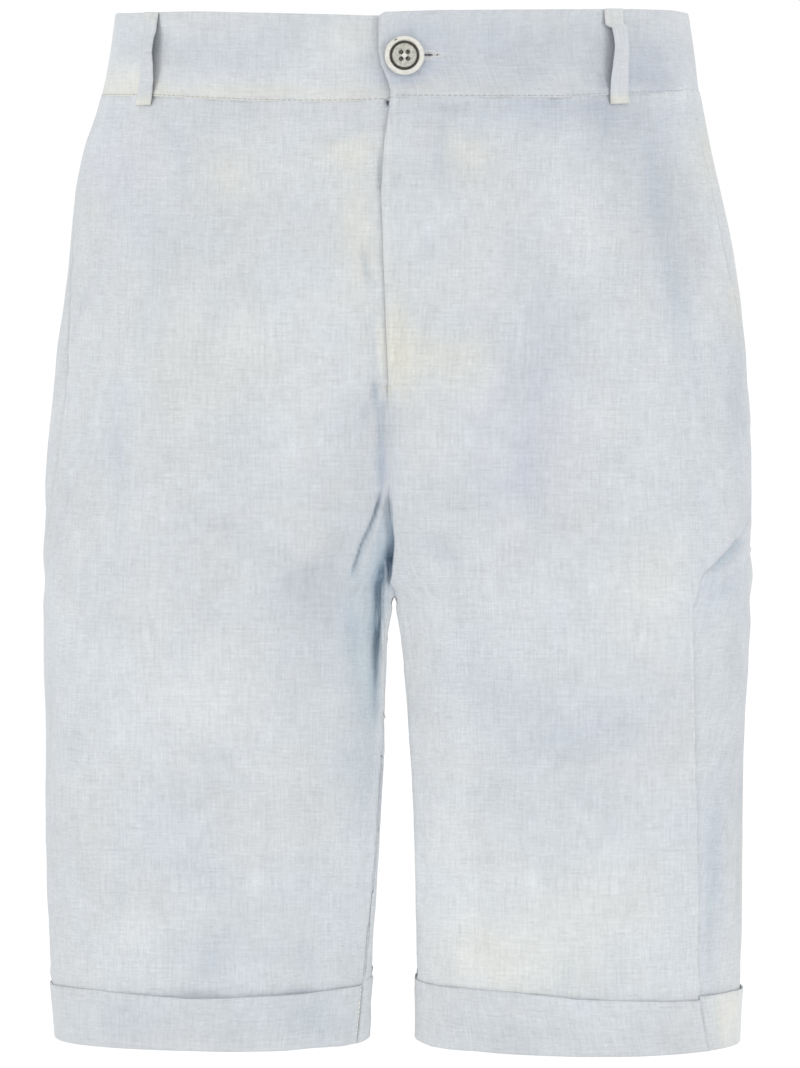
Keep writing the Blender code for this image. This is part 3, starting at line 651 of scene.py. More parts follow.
def shell(name, points, side, thickness, cloth, vertex_colour):
    """A closed cloth wall inwards from a grid of points, with rounded edges.

    Cloth is each point's place in the weave, in millimetres, and vertex_colour its colour, painted shade and
    highlight included.
    """
    rows, columns = points.shape[:2]
    normals = grid_normals(points, side)
    around = ((1, 1), (1, 1), (0, 0))
    outer = np.pad(points, around, mode="edge")
    way = np.pad(normals, around, mode="edge")
    past = np.zeros_like(outer)
    past[0, 1:-1] += unit(points[0] - points[1])
    past[-1, 1:-1] += unit(points[-1] - points[-2])
    past[1:-1, 0] += unit(points[:, 0] - points[:, 1])
    past[1:-1, -1] += unit(points[:, -1] - points[:, -2])
    for end in (0, -1):
        past[end] = np.pad(past[end, 1:-1], ((1, 1), (0, 0)), mode="edge")
    edge = np.ones((rows + 2, columns + 2), bool)
    edge[1:-1, 1:-1] = False
    outer[edge] += (EDGE_OUT * past[edge] - EDGE_IN * way[edge]) * thickness
    inner = (points - normals * thickness).reshape(-1, 3)
    index = np.arange(outer.shape[0] * outer.shape[1]).reshape(outer.shape[:2])
    back = index.copy()
    back[1:-1, 1:-1] = index.size + np.arange(rows * columns).reshape(rows, columns)
    faces = np.concatenate([quads(index, side), quads(back, -side)])
    places = np.concatenate([outer.reshape(-1, 3), inner])
    weave = np.concatenate([np.pad(cloth, around, mode="edge").reshape(-1, 3), cloth.reshape(-1, 3)])
    tint = np.concatenate([np.pad(vertex_colour, around, mode="edge").reshape(-1, 3), vertex_colour.reshape(-1, 3)])
    tint = np.concatenate([tint, np.ones((len(tint), 1))], 1)
    return new_object(name, places, faces, {"cloth": weave, "vertex_colour": tint})


def spaced(spans):
    """Values down from the first, by steps that change evenly between the given ones."""
    starts, steps = [-value for value, _ in spans], [step for _, step in spans]
    values = [spans[0][0]]
    while values[-1] > spans[-1][0]:
        values.append(values[-1] - float(np.interp(-values[-1], starts, steps)))
    values[-1] = spans[-1][0]
    return values


def fine_first(count, share=0.34):
    """Shares from 0 to 1 that lie closer together at the start."""
    even = np.linspace(0, 1, count)
    return even * (1 + (even - 1) * share)


# What the making does to a panel: seams pull in, cloth gathers under them

# Each leg's front is nearly flat up to its inner edge, and at the crotch the right one goes in behind the
# left. Each table runs over distances from the inner edge, or from the middle plane above the crotch, and
# a row that ends early goes on with 0.
REACHES = (0, 1.2, 2.4, 3.2, 4.2, 5.6, 7.2, 9, 10.2, 12, 16, 24, 36)
FLAT_FRONT = (9, 8, 7.6, 7.3, 7, 6.8, 6.5, 6.1, 5.8, 5.4, 4.4, 2.7, 0)
FLAT_SHARES = [(-205, 0.0), (-225, 0.0), (-250, 0.5), (-266, 0.95), (-283, 1.0), (-516, 1.0)]
HOLLOWS = [
    (-218, ()),
    (-228, (0.7, 0.4)),
    (-233, (2.2, 1.4, 0.5)),
    (-241, (3.7, 3.1, 2.2, 1.6, 1.1, 0.6, 0.2)),
    (-251, (6.5, 5.8, 4.6, 3.8, 3, 2.3, 1.6, 0.8, 0.5, 0.2)),
    (-261, (12, 12, 11, 9, 7, 5.2, 3.6, 2, 1.4, 0.7)),
    (-268, (6, 7, 8, 6.6, 4.2, 9.6, 8.6, 4.2, 2.6, 1.1, 0.2)),
    (-275, (1.6, 2, 2.6, 2.4, 2.2, 4.6, 9.6, 9.2, 5.4, 1.8, 0.4)),
    (-282, (0.6, 0.8, 1.2, 2, 2, 3.8, 7.8, 9.6, 5.4, 2, 0.6)),
    (-302, (0, 0, 0.4, 1, 3.4, 9, 6, 3, 2.3, 1.6, 0.7)),
    (-314, (0, 0, 0.1, 0.7, 2.2, 6.2, 4.2, 1.6, 1.2, 0.8, 0.3)),
    (-328, (0, 0, 0, 0.4, 1.8, 3.4, 1.8, 0.9, 0.7, 0.5)),
    (-355, (0, 0, 0, 0, 0.6, 0.6, 0.5, 0.3, 0.2)),
    (-400, ()),
]
EDGE_PRESSED = ((0, 2, 5, 999), (0.7, 0, 5, 999))   # distances from a leg's inner edge, and what they become
SEAM_LEANS = {                             # how far the seam at the middle leans towards the left
    1: [(-168, 0.0), (-173, -2.85), (-200, -2.6), (-228, -2.1), (-241, -1.1), (-252, -0.6), (-261, -1.1),
        (-268, -1.9), (-273.5, -2.7), (-276.5, -2.2), (-279.5, -1.4), (-282, -0.5), (-286, 0.0)],
    -1: [(-168, 0.0), (-173, -2.85), (-200, -2.6), (-228, -2.1), (-241, -1.1), (-254, -0.3), (-262, 0.0)],
}
GAP_MORE = {                               # how much wider the gap between the legs is on each side
    1: [(-282, -0.3), (-287.3, 0.1), (-295, 0.35), (-302, 0.5), (-325, 0.2), (-380, 0.1), (-480, 0.0),
        (-487, -0.9), (-516, -1.1)],
    -1: [(-282, -0.3), (-287.3, 0.2), (-295, 0.4), (-302, 0.8), (-308, 1.0), (-316, 0.6), (-328, 0.2),
         (-355, 0.1), (-370, -0.4), (-400, -0.6), (-415, -0.9), (-430, -1.2), (-455, -0.9), (-476, -1.2),
         (-486, -0.5), (-500, -0.9), (-516, -1.0)],
}
SEAM_ROLL, SEAM_REACH = 0.5, 3.6
LAP_UNDER = (-222.0, -232.0)               # from here down the right leg's edge runs under the left's
SEAM_TURN = (-222.0, -244.0)               # and the left outer seam is pressed to the front
TURN_UP_TOP = -487.0
DROOPS = {                                 # places across, and how far the band's top and seam are off there
    -1: [(-152, -0.8, 0.0), (-129, -0.6, 0.0), (-106, -0.4, -1.4), (-79, -1.2, -2.8), (-50, -1.9, -3.3),
         (-31, -2.4, -3.3), (-12, -3.0, -2.6), (30, -3.0, -2.0)],
    1: [(-14, -1.0, -0.6), (-5, -0.8, -0.7), (18, 0.0, -0.8), (82, 0.6, -1.0), (108, 0.9, 0.4),
        (122, 1.0, 1.0), (142, 0.8, 2.0), (153, -0.8, 2.4)],
}
DROOP_FADE = 62.0                          # how far below the band its droops fade out
DROOP_BACK = (-40.0, 20.0)                 # and from which Y to which


def fading(distance, reach):
    """1 at no distance, falling straight to 0 at a reach."""
    return np.clip(1 - distance / reach, 0, 1)


def ridge(distance, height, reach):
    """A height at no distance, falling softly to almost 0 at twice a reach on either side."""
    return height * np.exp(-(distance / reach) ** 2)


def roll(edge, depth=SEAM_ROLL, reach=SEAM_REACH):
    """How far cloth sinks towards a seam, by its distance from it."""
    return -depth * fading(edge, reach) ** 2


def gathers(edge, along, reach, depth, seed):
    """Small uneven puckers that run away from a seam."""
    spots = np.stack([along / 9, edge / 60, np.full_like(edge, seed * 7.3)], -1)
    fine = np.stack([along / 4.2, edge / 40, np.full_like(edge, seed * 3.1)], -1)
    waves = noise(spots, 1.0) + 0.45 * noise(fine, 1.0)
    return depth * waves * fading(edge, reach) ** 1.5


def drooped(points, side):
    """Points of the band and of what lies below it, with the band's edges where they hang."""
    x, y, level = points[..., 0], points[..., 1], points[..., 2]
    across, tops, seams = zip(*DROOPS[side])
    top, seam = np.interp(x, across, tops), np.interp(x, across, seams)
    high = np.clip((level - BAND_BOTTOM) / (BAND_TOP - BAND_BOTTOM), 0, 1)
    low = 1 - between(level, BAND_BOTTOM, BAND_BOTTOM - DROOP_FADE)
    ahead = 1 - between(y, *DROOP_BACK)
    moved = points.copy()
    moved[..., 2] += (top * high + seam * (1 - high)) * low * ahead
    return moved


HEM_DROOPS = {                             # how far the hem hangs below its level, across each leg
    -1: [(-180, 0.6), (-150, 0.2), (-110, -0.4), (-90, -0.9), (-60, -0.9), (-40, 0.3), (-14, 0.8)],
    1: [(10, 0.4), (31, -1.2), (52, -2.4), (92, -3.5), (124, -3.6), (140, -3.3), (156, -2.8), (175, -2.0)],
}
HEM_FADE = (-400.0, -505.0)
HEM_CORNER_FADE = (-494.0, -516.0)
HEM_CORNERS = {                            # and how far its inner corners are rounded up
    -1: [(-40, 0.0), (-30, 0.3), (-20, 2.0), (-15.5, 4.2), (-13.5, 5.4)],
    1: [(7, 4.2), (8.5, 3.6), (10.5, 2.5), (16, 0.7), (24, 0.0)],
}


def hung(points, side):
    """Points where they hang: the band's edges, what is just below it, and the hem."""
    moved = drooped(points, side)
    across, drops = zip(*HEM_DROOPS[side])
    low = between(points[..., 2], *HEM_FADE)
    moved[..., 2] += np.interp(points[..., 0], across, drops) * low
    across, corners = zip(*HEM_CORNERS[side])
    low = between(points[..., 2], *HEM_CORNER_FADE)
    moved[..., 2] += np.interp(points[..., 0], across, corners) * low
    return moved


def ripple(points, size=1.0):
    """The cloth's own slight unevenness."""
    return size * layered(points, (0.50, 40, 0), (0.24, 17, 0), (0.11, 8, 3))


def yarns(from_middle, level):
    """Places in the weave: across the grain and along it."""
    return np.stack([from_middle, level, np.zeros_like(level)], -1)


PANEL_STEPS = [
    (-20.6, 0.8), (-30, 1.3), (-60, 1.9), (-214, 1.9), (-226, 1.05), (-290, 1.05), (-306, 1.9), (-513, 1.9),
]
KNEE = 8.0                                 # from the middle plane to where a panel's inner columns begin
PLUMB = 95.0                               # from the middle plane to the yarn that hangs plumb
SEAM_CLOSED = FLY_END + 8                  # below this the fronts meet in a seam
INNER_COLUMNS = 34
FRONT_COLUMNS, BACK_COLUMNS = 104, 88


def mouth_at(level):
    share = (POCKET_TOP - level) / (POCKET_TOP - POCKET_BOTTOM)
    return POCKET_MOUTH * math.sin(math.pi * share) if 0 < share < 1 else 0.0


def by_level(level, rows):
    """A table's values at levels, on straight lines between its rows."""
    return np.interp(level, [row[0] for row in rows][::-1], [row[1] for row in rows][::-1])


INNER_LEVELS = np.linspace(-205, -516, 125)


def front_plane(level):
    """How far forward the left leg's front is at the last of the reaches."""
    oval = ovals(1, level)[0]
    inner = leg_gap(1, level)
    across = abs(inner + REACHES[-1] - oval.centre) / oval.half_width
    return -oval.depth * (1 - across ** oval.power) ** (1 / oval.power)


MIDDLES = [(level, smooth(SECTIONS, "middle", level)) for level in INNER_LEVELS]
GAPS = {side: [(level, leg_gap(side, level)) for level in INNER_LEVELS] for side in (1, -1)}
FRONT_PLANES = [(level, front_plane(level)) for level in INNER_LEVELS]


def step_and_share(value, steps):
    """The step of a rising row that a value lies on, and how far along it lies."""
    place = np.interp(value, steps, np.arange(len(steps)))
    step = np.minimum(place.astype(int), len(steps) - 2)
    return step, place - step


def hollow_at(reach, level):
    """How far the right leg's cloth is gone in, by its distance from the inner edge and its level."""
    depths = np.array([row + (0,) * (len(REACHES) - len(row)) for _, row in HOLLOWS], float)
    upper, down = step_and_share(-level, [-row_level for row_level, _ in HOLLOWS])
    left, along = step_and_share(reach, REACHES)
    return ((depths[upper, left] * (1 - along) + depths[upper, left + 1] * along) * (1 - down)
            + (depths[upper + 1, left] * (1 - along) + depths[upper + 1, left + 1] * along) * down)


def above_crotch(level):
    """1 where the legs are joined, with a soft change to 0 at the crotch."""
    return between(level, CROTCH - 1, CROTCH + 3)


def set_in(points, side):
    """Points with the legs' inner edges set as the tables say, and how deep in a fold each one is, for the
    painted shade there.
    """
    x, y, level = points[..., 0], points[..., 1], points[..., 2]
    reach = np.maximum(side * (x - by_level(level, MIDDLES)) - by_level(level, GAPS[side]) - HALF_GAP, 0)
    parted, joined = between(level, CROTCH, CROTCH - 4), above_crotch(level)
    near = reach + parted * between(y, -2, -22) * (np.interp(reach, *EDGE_PRESSED) - reach)
    more = parted * 1.2 * between(y, -30, -16) + by_level(level, GAP_MORE[side])
    near += more * fading(reach, 8)
    forward = (1 - parted) * between(y, -10, -28) + parted * ease(reach / 2) * between(y, -2, -10)
    flat = by_level(level, FRONT_PLANES) + np.interp(near, REACHES, FLAT_FRONT)
    share = by_level(level, FLAT_SHARES) * between(near, REACHES[-1], REACHES[-1] - 14) * forward
    depth = hollow_at(near, level)
    if side > 0:
        depth = hollow_at(np.zeros_like(near), level) * joined * fading(near, 0.7)
    moved = points.copy()
    moved[..., 1] += share * (flat - y) + depth * forward
    lean = by_level(level, SEAM_LEANS[side]) * (1 - ease(reach / 26)) * between(y, -40, -60)
    under = 1.2 * fading(near, 2) * (side < 0) * joined * between(level, *LAP_UNDER)
    moved[..., 0] += side * (near - reach) + lean + under
    return moved, depth * forward


def rows_at(runs, distances):
    found = [run.at(d) for run, d in zip(runs, distances)]
    return np.stack([f[0] for f in found]), np.stack([f[1] for f in found])


def leg_rows_at(runs, distances, side):
    """The points and ways out of rows on a leg with its inner edges set, and how deep in a fold each is."""
    points, sunk = set_in(rows_at(runs, distances)[0], side)
    return points, grid_normals(points, side), sunk


# sunk: over 0 painted shade, below 0 painted highlight
Grid = namedtuple("Grid", "points cloth sunk", defaults=[None])

LOOSE = [                                  # where the turn-ups stand off the legs, at places across
    (-170, 0.0), (-136, 0.05), (-129, 0.5), (-118, 0.8), (-96, 0.8), (-86, 0.4), (-74, 0.4), (-62, 0.8),
    (-55, 1.0), (-46, 0.8), (-40, 0.4), (-10, 0.3), (10, 0.3), (30, 0.3), (40, 0.0), (52, 0.0), (62, 0.15),
    (72, 0.4), (82, 0.7), (96, 0.7), (104, 0.4), (114, 0.2), (138, 0.2), (152, 0.4), (164, 0.9)]


def looseness(x):
    return np.interp(x, *zip(*LOOSE))


def tucked(points):
    """How far a leg goes in at its turn-up, under it and just above it, or out over the turn-up's edge."""
    x, level = points[..., 0], points[..., 2]
    shadow = 0.6 + 0.6 * noise(points, 24, 6)
    held = 1 - 0.85 * between(x, 150, 176) - 0.5 * between(x, -150, -176)
    loose = looseness(x)
    under = 0.7 * between(level, TURN_UP_TOP + 9, TURN_UP_TOP - 3)
    above = ridge(level - TURN_UP_TOP, np.maximum(shadow, 0), 3.2)
    puff = ridge(level - TURN_UP_TOP - 5, 0.7, 3)
    return held * loose * (under + above) - (1 - loose) * puff


def pressed_seam(side, level):
    """Where the left leg's outer seam is pressed to the front and no longer rolls in."""
    return (side > 0) * between(level, *SEAM_TURN)


def column(values):
    """A value for each row of a grid."""
    return np.array(list(values))[:, None]


def settled(side, base, from_seam, outer, seed):
    """How far folds, creases, gathers and the turn-up move a panel's cloth, and how much painted
    shade it gets there: over 0 in creases and just above the turn-up, below 0 painted highlight on ridges."""
    level = base[..., 2]
    top = np.maximum(BAND_BOTTOM - level, 0)
    creases, tuck = creases_at(side, base, from_seam), tucked(base)
    lift = folds_at(side, from_seam, level) + creases - tuck + gathers(outer, level, 15, 0.40, 1 + side)
    lift += roll(top, 0.25, 2.0) + gathers(top, base[..., 0], 24, 0.7, seed + side)
    # painted highlight on crease ridges; painted shade in the creases and in the gap just above the turn-up
    ridge_highlight = 1.2 * np.clip(creases - 0.2, 0, 1)
    return lift, 1.2 * np.maximum(-0.3 - creases, 0) - ridge_highlight + 2.4 * np.maximum(tuck - 0.7, 0)


def front_panel(side):
    levels = spaced(PANEL_STEPS)
    laps = [straight(FLY, "lap" if side > 0 else "underlap", level) for level in levels]
    dips = [0.0 if side > 0 else straight(FLY, "dip", level) for level in levels]
    runs = [Run(side, level, lap) for level, lap in zip(levels, laps)]
    distances, inner, outer, dip, mouths = [], [], [], [], []
    for run, lap, depth in zip(runs, laps, dips):
        mouth = mouth_at(run.level)
        knee, last = run.distance_at(KNEE, False), run.seam - mouth
        start = -HALF_GAP if CROTCH < run.level < SEAM_CLOSED else 0.0
        row = np.concatenate([np.linspace(start, knee, INNER_COLUMNS, endpoint=False),
                              knee + (last - knee) * fine_first(FRONT_COLUMNS)])
        distances.append(row)
        inner.append(row - (lap if side < 0 else 0.0))
        outer.append(last - row)
        dip.append(depth * between(run.across(row), DIP_NONE, DIP_FULL))
        mouths.append(mouth / POCKET_MOUTH)
    distances, inner, outer = np.stack(distances), np.stack(inner), np.stack(outer)
    base, out, sunk = leg_rows_at(runs, distances, side)
    level = base[..., 2]
    from_seam = distances - column(run.side_line for run in runs)
    open_mouth = ease(column(mouths) * 2.5)
    seamed = between(level, SEAM_CLOSED - 2, FLY_END)
    lapped = (1 - seamed) * (side > 0)
    pressed = pressed_seam(side, level)
    lift, shade = settled(side, base, from_seam, outer, 8)
    lift += ripple(base) - np.stack(dip)
    lift += roll(outer) * (1 - open_mouth) * (1 - pressed)
    lift += open_mouth * ridge(outer, 0.7, 2.6) + pressed * ridge(outer, 0.05, 2.2)
    edge = np.maximum(inner, 0)
    lift += gathers(edge, level, 16, 0.35, 4 + side) + roll(edge, 0.3, 2.6) * seamed
    lift += lapped * (roll(edge, 0.5, 2.4) + ridge(inner - 3.2, 0.3, 1.5))
    # painted shade from creases and the crotch hollow; painted highlight, with some real wear, along the open
    # pocket mouth, the fly's lap and the pressed outer seam
    sunk += shade - open_mouth * ridge(outer, 3, 1.5)
    sunk -= lapped * ridge(inner - 2, 1.2, 1.6) + pressed * ridge(outer, 1.0, 1.3)
    points = base + out * lift[..., None]
    along = distances + column(PLUMB - run.distance_at(PLUMB, False) for run in runs)
    return Grid(hung(points, side), yarns(along + YARN_STARTS["front"], level), sunk)


def back_panel(side):
    levels = spaced(PANEL_STEPS)
    runs = [Run(side, level) for level in levels]
    distances = []
    for run in runs:
        knee = run.distance_at(KNEE, True)
        distances.append(np.concatenate([
            run.seam + (knee - run.seam) * (1 - fine_first(BACK_COLUMNS, 0.2)[::-1]),
            np.linspace(knee, run.length, INNER_COLUMNS + 1)[1:]]))
    distances = np.stack(distances)
    base, out, sunk = leg_rows_at(runs, distances, side)
    level = base[..., 2]
    inner = column(run.length for run in runs) - distances
    outer = distances - column(run.seam for run in runs)
    from_seam = distances - column(run.side_line for run in runs)
    pressed, joined = pressed_seam(side, level), above_crotch(level)
    lift, shade = settled(side, base, from_seam, outer, 15)
    lift += ripple(base, 1.15) + roll(outer) * (1 - pressed) - 0.15 * pressed * np.exp(-outer / 8)
    lift += gathers(inner, level, 17, 0.45, 12 + side) + roll(inner, 0.9, 3.2)
    lift -= (side < 0) * joined * 1.3 * fading(inner, 2.2)
    # painted shade on the back just beside the pressed outer seam, and from the creases
    sunk += shade + pressed * ridge(outer, 0.35, 34)
    points = base + out * lift[..., None]
    seam = by_level(level, MIDDLES) + (0.1 if side > 0 else 1.1)
    points[..., 0] += joined * fading(inner, 4) ** 2 * (seam - points[..., 0])
    along = distances - column(run.distance_at(PLUMB, True) for run in runs)
    return Grid(hung(points, side), yarns(along + YARN_STARTS["back"], level), sunk)


LAP_END = table("level lap", [
    (22, 8.8), (20.8, 10.5), (17, 11.4), (2, 11.3), (-5, 9.8), (-13, 6.4), (-18.6, 4.7), (-22, 4.8)])
BAND_ROWS, BAND_COLUMNS = 40, 220
BAND_TIGHT = (120.0, 154.0)                # from where across the band lies closer to the form
STITCH_INSET = 1.0


def band(side):
    turn = np.linspace(math.pi / 2, -math.pi / 2, BAND_ROWS)
    levels = BAND_TOP * (0.55 * np.sin(turn) + 0.45 * turn / (math.pi / 2))
    laps = [straight(LAP_END, "lap", level) if side > 0 else BAND_UNDERLAP for level in levels]
    runs = [Run(side, level, lap) for level, lap in zip(levels, laps)]
    distances = np.stack([run.length * fine_first(BAND_COLUMNS, 0.25) for run in runs])
    base, out = rows_at(runs, distances)
    level = base[..., 2]
    top, bottom = BAND_TOP - level, level - BAND_BOTTOM
    lift = BAND_PROUD + ripple(base, 0.36) - between(np.abs(base[..., 0]), *BAND_TIGHT)
    lift = lift + roll(top, 0.55, 1.8) + roll(bottom, 0.45, 4.0) + roll(bottom, 0.25, 1.0)
    lift += gathers(bottom, base[..., 0], 10, 0.2, 20 + side)
    if side > 0:
        lift += ridge(distances, 0.3, 2.2) - 0.5 * roll(distances, 0.3, 1.0)
        lift += crease_at(Crease([(100, 20), (102, 2), (98, -20)], 5, -0.5, 0, -0.5, 0.3, 0.3),
                          base[..., 0], level)
    else:
        across = np.stack([run.across(row) for run, row in zip(runs, distances)])
        lift -= BAND_DIP * between(across, DIP_NONE, DIP_FULL)
    points = drooped(base + out * lift[..., None], side)
    return Grid(points, yarns(distances + YARN_STARTS["band"], level))


FACING_ROWS, FACING_COLUMNS = 84, 26
FACING_TOP, FACING_BOTTOM = -78.0, -205.0
SIDE_MARGIN = 14.0


def facing(side):
    levels = np.linspace(FACING_TOP, FACING_BOTTOM, FACING_ROWS)
    runs = [Run(side, level) for level in levels]
    spread = np.linspace(-SIDE_MARGIN, SIDE_MARGIN, FACING_COLUMNS)
    distances = np.stack([run.seam + spread for run in runs])
    base, out = rows_at(runs, distances)
    from_seam = np.broadcast_to(spread, base.shape[:2])
    lift = folds_at(side, from_seam, base[..., 2]) - CLOTH - SEAM_GAP + 0.5 * ripple(base)
    lift = lift + roll(np.abs(from_seam), 0.7, 3.0) * 0.6
    cloth = yarns(distances + YARN_STARTS["facing"], base[..., 2])
    return Grid(hung(base + out * lift[..., None], side), cloth)


CUFF_COLUMNS, CUFF_ROWS = 120, 20
CUFF_INSIDE = 8.0
CUFF_REACH = 40.0                          # how far up the leg's own form is followed
CUFF_FOLD_STEPS = 9
Cuff = namedtuple("Cuff", "side behind heights")
CUFFS = [                                   # heights above the hem's level, at places across
    Cuff(1, False, [(8, 34.0), (14, 32.0), (22, 30.8), (64, 30.4), (98, 28.0), (134, 26.6), (155, 25.4)]),
    Cuff(-1, False, [(-180, 27.5), (-162, 27.9), (-150, 27.2), (-108, 25.4), (-82, 26.6), (-49, 27.6),
                     (-24, 29.6), (-20, 30.6), (-14, 33.0)]),
    Cuff(1, True, [(8, 31.0), (24, 28.8), (90, 28.0), (150, 27.4), (184, 27.0)]),
    Cuff(-1, True, [(-184, 27.6), (-90, 28.4), (-27, 30.4), (-14, 36.0)]),
]


def cuff(kind):
    """A turn-up: from inside the leg, round the fold and up outside, with its top edge a little loose."""
    outside, middle = CLOTH + CUFF_EASE, -CLOTH / 2
    radius = outside - middle
    share = np.linspace(0, 1, CUFF_COLUMNS)
    levels = np.linspace(HEM + CUFF_REACH, HEM, 21)
    runs = [Run(kind.side, level) for level in levels]
    spans = [(run.seam, run.length) if kind.behind else (0.0, run.seam) for run in runs]
    distances = np.stack([first + (last - first) * share for first, last in spans])
    base, out, _ = leg_rows_at(runs, distances, kind.side)
    along = distances[-1]
    line = np.stack([along, np.zeros_like(along), np.full_like(along, 50.0 * kind.side)], -1)
    height = np.interp(base[-1, :, 0], *zip(*kind.heights)) + layered(line, (0.4, 34, 0), (0.25, 11, 0))
    loose = (0.5 + 0.6 * noise(line, 12, 5)) * np.abs(out[-1, :, 1]) * looseness(base[-1, :, 0])
    fold = np.linspace(0, math.pi, CUFF_FOLD_STEPS)
    rise = np.linspace(0, 1, CUFF_ROWS)[1:]
    away = [np.full(CUFF_COLUMNS, middle - radius)] * 3
    up = [np.full(CUFF_COLUMNS, HEM + CUFF_INSIDE * s) for s in (1.0, 0.66, 0.33)]
    away += [np.full(CUFF_COLUMNS, middle - radius * math.cos(a)) for a in fold]
    up += [np.full(CUFF_COLUMNS, HEM - radius * math.sin(a)) for a in fold]
    loose = np.maximum(loose, 0) * (0.25 + 0.75 * ease(np.minimum(share, 1 - share) * 9))
    away += [outside + loose * s ** 3 - 0.25 * math.sin(math.pi * s) for s in rise]
    up += [HEM + height * s for s in rise]
    away, up = np.stack(away)[::-1], np.stack(up)[::-1]
    spots = np.clip((levels[0] - up) / (levels[0] - levels[-1]) * (len(levels) - 1), 0, len(levels) - 1)
    upper = np.minimum(spots.astype(int), len(levels) - 2)
    part = (spots - upper)[..., None]
    pick = np.arange(CUFF_COLUMNS)
    points = base[upper, pick] * (1 - part) + base[upper + 1, pick] * part
    way = unit(out[upper, pick] * (1 - part) + out[upper + 1, pick] * part)
    points[..., 2] = up
    ends = np.minimum(share, 1 - share) * (along[-1] - along[0])
    shown = (away > middle)
    lift = away + shown * (roll(ends[None], 0.9, 3.0) + 0.5 * ripple(points) + gathers(
        np.broadcast_to(ends, up.shape), up, 12, 0.3, 30 + kind.side))
    third = CUFF_COLUMNS // 3
    turned_row = points[:, third] + way[:, third] * away[:, third, None]
    rows = np.cumsum(np.concatenate([[0], np.linalg.norm(np.diff(turned_row, axis=0), axis=-1)]))
    cloth = yarns(np.broadcast_to(along + YARN_STARTS["cuff"], up.shape),
                  np.broadcast_to(-rows[:, None], up.shape))
    return Grid(hung(points + way * lift[..., None], kind.side), cloth)


Loop = namedtuple("Loop", "name side behind across shifts")
LOOP_BOWS = table("level out", [
    (22, 1.2), (19.4, 1.3), (16, 1.9), (10, 3.1), (2, 3.9), (-7, 3.7), (-15.5, 2.3), (-20, 1.2), (-22.6, 0.8),
    (-26.2, 0.5)])
LOOP_WIDTH = 10.8
LOOP_ROWS, LOOP_COLUMNS = 80, 15
LOOPS = [                                   # shifts are a level, how far aside towards the back, and a tilt
    Loop("loop_front_left", 1, False, 111.0, [
        (22, -2.9, 0.0), (14.4, -3.1, 0.4), (13.4, -0.1, 1.5), (3, 0.65, 2.4),
        (-5, 0.05, 2.0), (-14.5, 0.15, 1.0), (-26, 2.0, 0.0)]),
    Loop("loop_front_right", -1, False, 130.0, [
        (22, -1.6, 0.1), (16.5, -1.7, 0.7), (12.5, -2.6, 1.4), (9, -2.0, 2.0),
        (1, -1.1, 2.5), (-5.5, -1.5, 2.1), (-14, -0.1, 1.0), (-26, 4.2, 0.0)]),
    Loop("loop_back_left", 1, True, 88.0, [
        (22, 0.6, 0.3), (6, -0.4, -0.5), (-26, 0.3, 0.0)]),
    Loop("loop_back_right", -1, True, 88.0, [
        (22, -0.4, 0.0), (0, 0.7, 0.6), (-26, -0.3, 0.0)]),
    Loop("loop_back_centre", 1, True, 0.0, [(22, 0, 0), (-26, 0, 0)]),
]


def loop(kind):
    """A belt loop: a flat folded strip that bows off the band between its two tacked ends."""
    levels = np.linspace(BAND_TOP - 0.2, LOOP_BOWS[-1].level, LOOP_ROWS)
    spread = np.linspace(-0.5, 0.5, LOOP_COLUMNS)
    shifts = table("level aside tilt", kind.shifts)
    points = []
    for level in levels:
        run = Run(kind.side, level)
        centre = run.length if kind.across == 0 else run.distance_at(kind.across, kind.behind)
        aside = straight(shifts, "aside", level)
        tilt = straight(shifts, "tilt", level)
        lift = smooth(LOOP_BOWS, "out", level) + LOOP_CLOTH
        if kind.across == 0:
            middle, way = run.at(np.array([centre]))
            row = middle + np.outer(spread * LOOP_WIDTH, (-kind.side, 0, 0))
            row = row + np.array([0, 1.0, 0]) * (lift - 0.4 * (2 * spread[:, None]) ** 2)
        else:
            row, way = run.at(centre + aside + spread * LOOP_WIDTH)
            row = row + way * (lift - tilt * 2 * spread - 0.25 * np.abs(2 * spread) ** 3)[:, None]
        points.append(row)
    points = np.stack(points)
    uneven = layered(points, (0.25, 9, 2), (0.12, 4, 2))
    points += grid_normals(points, kind.side) * uneven[..., None]
    points = drooped(points, kind.side)
    along = spread * LOOP_WIDTH + YARN_STARTS["loop"] + kind.across
    return Grid(points, yarns(np.broadcast_to(along, points.shape[:2]), points[..., 2]))


def surface_of(*grids):
    """A tree for finding where a line from the front meets grids of points."""
    places, faces = [], []
    for points in grids:
        index = len(places) + np.arange(points.shape[0] * points.shape[1]).reshape(points.shape[:2])
        places += points.reshape(-1, 3).tolist()
        faces += quads(index, 1).tolist()
    return BVHTree.FromPolygons(places, faces)


RAY_START = -400.0                         # in front of all the cloth


def seen_at(tree, x, level):
    """The point that shows at a place on the front, and its way out."""
    spot, normal, _, _ = tree.ray_cast(Vector((x, RAY_START, level)), Vector((0, 1, 0)))
    if normal.y > 0:
        normal = -normal
    return np.array(spot), np.array(normal)


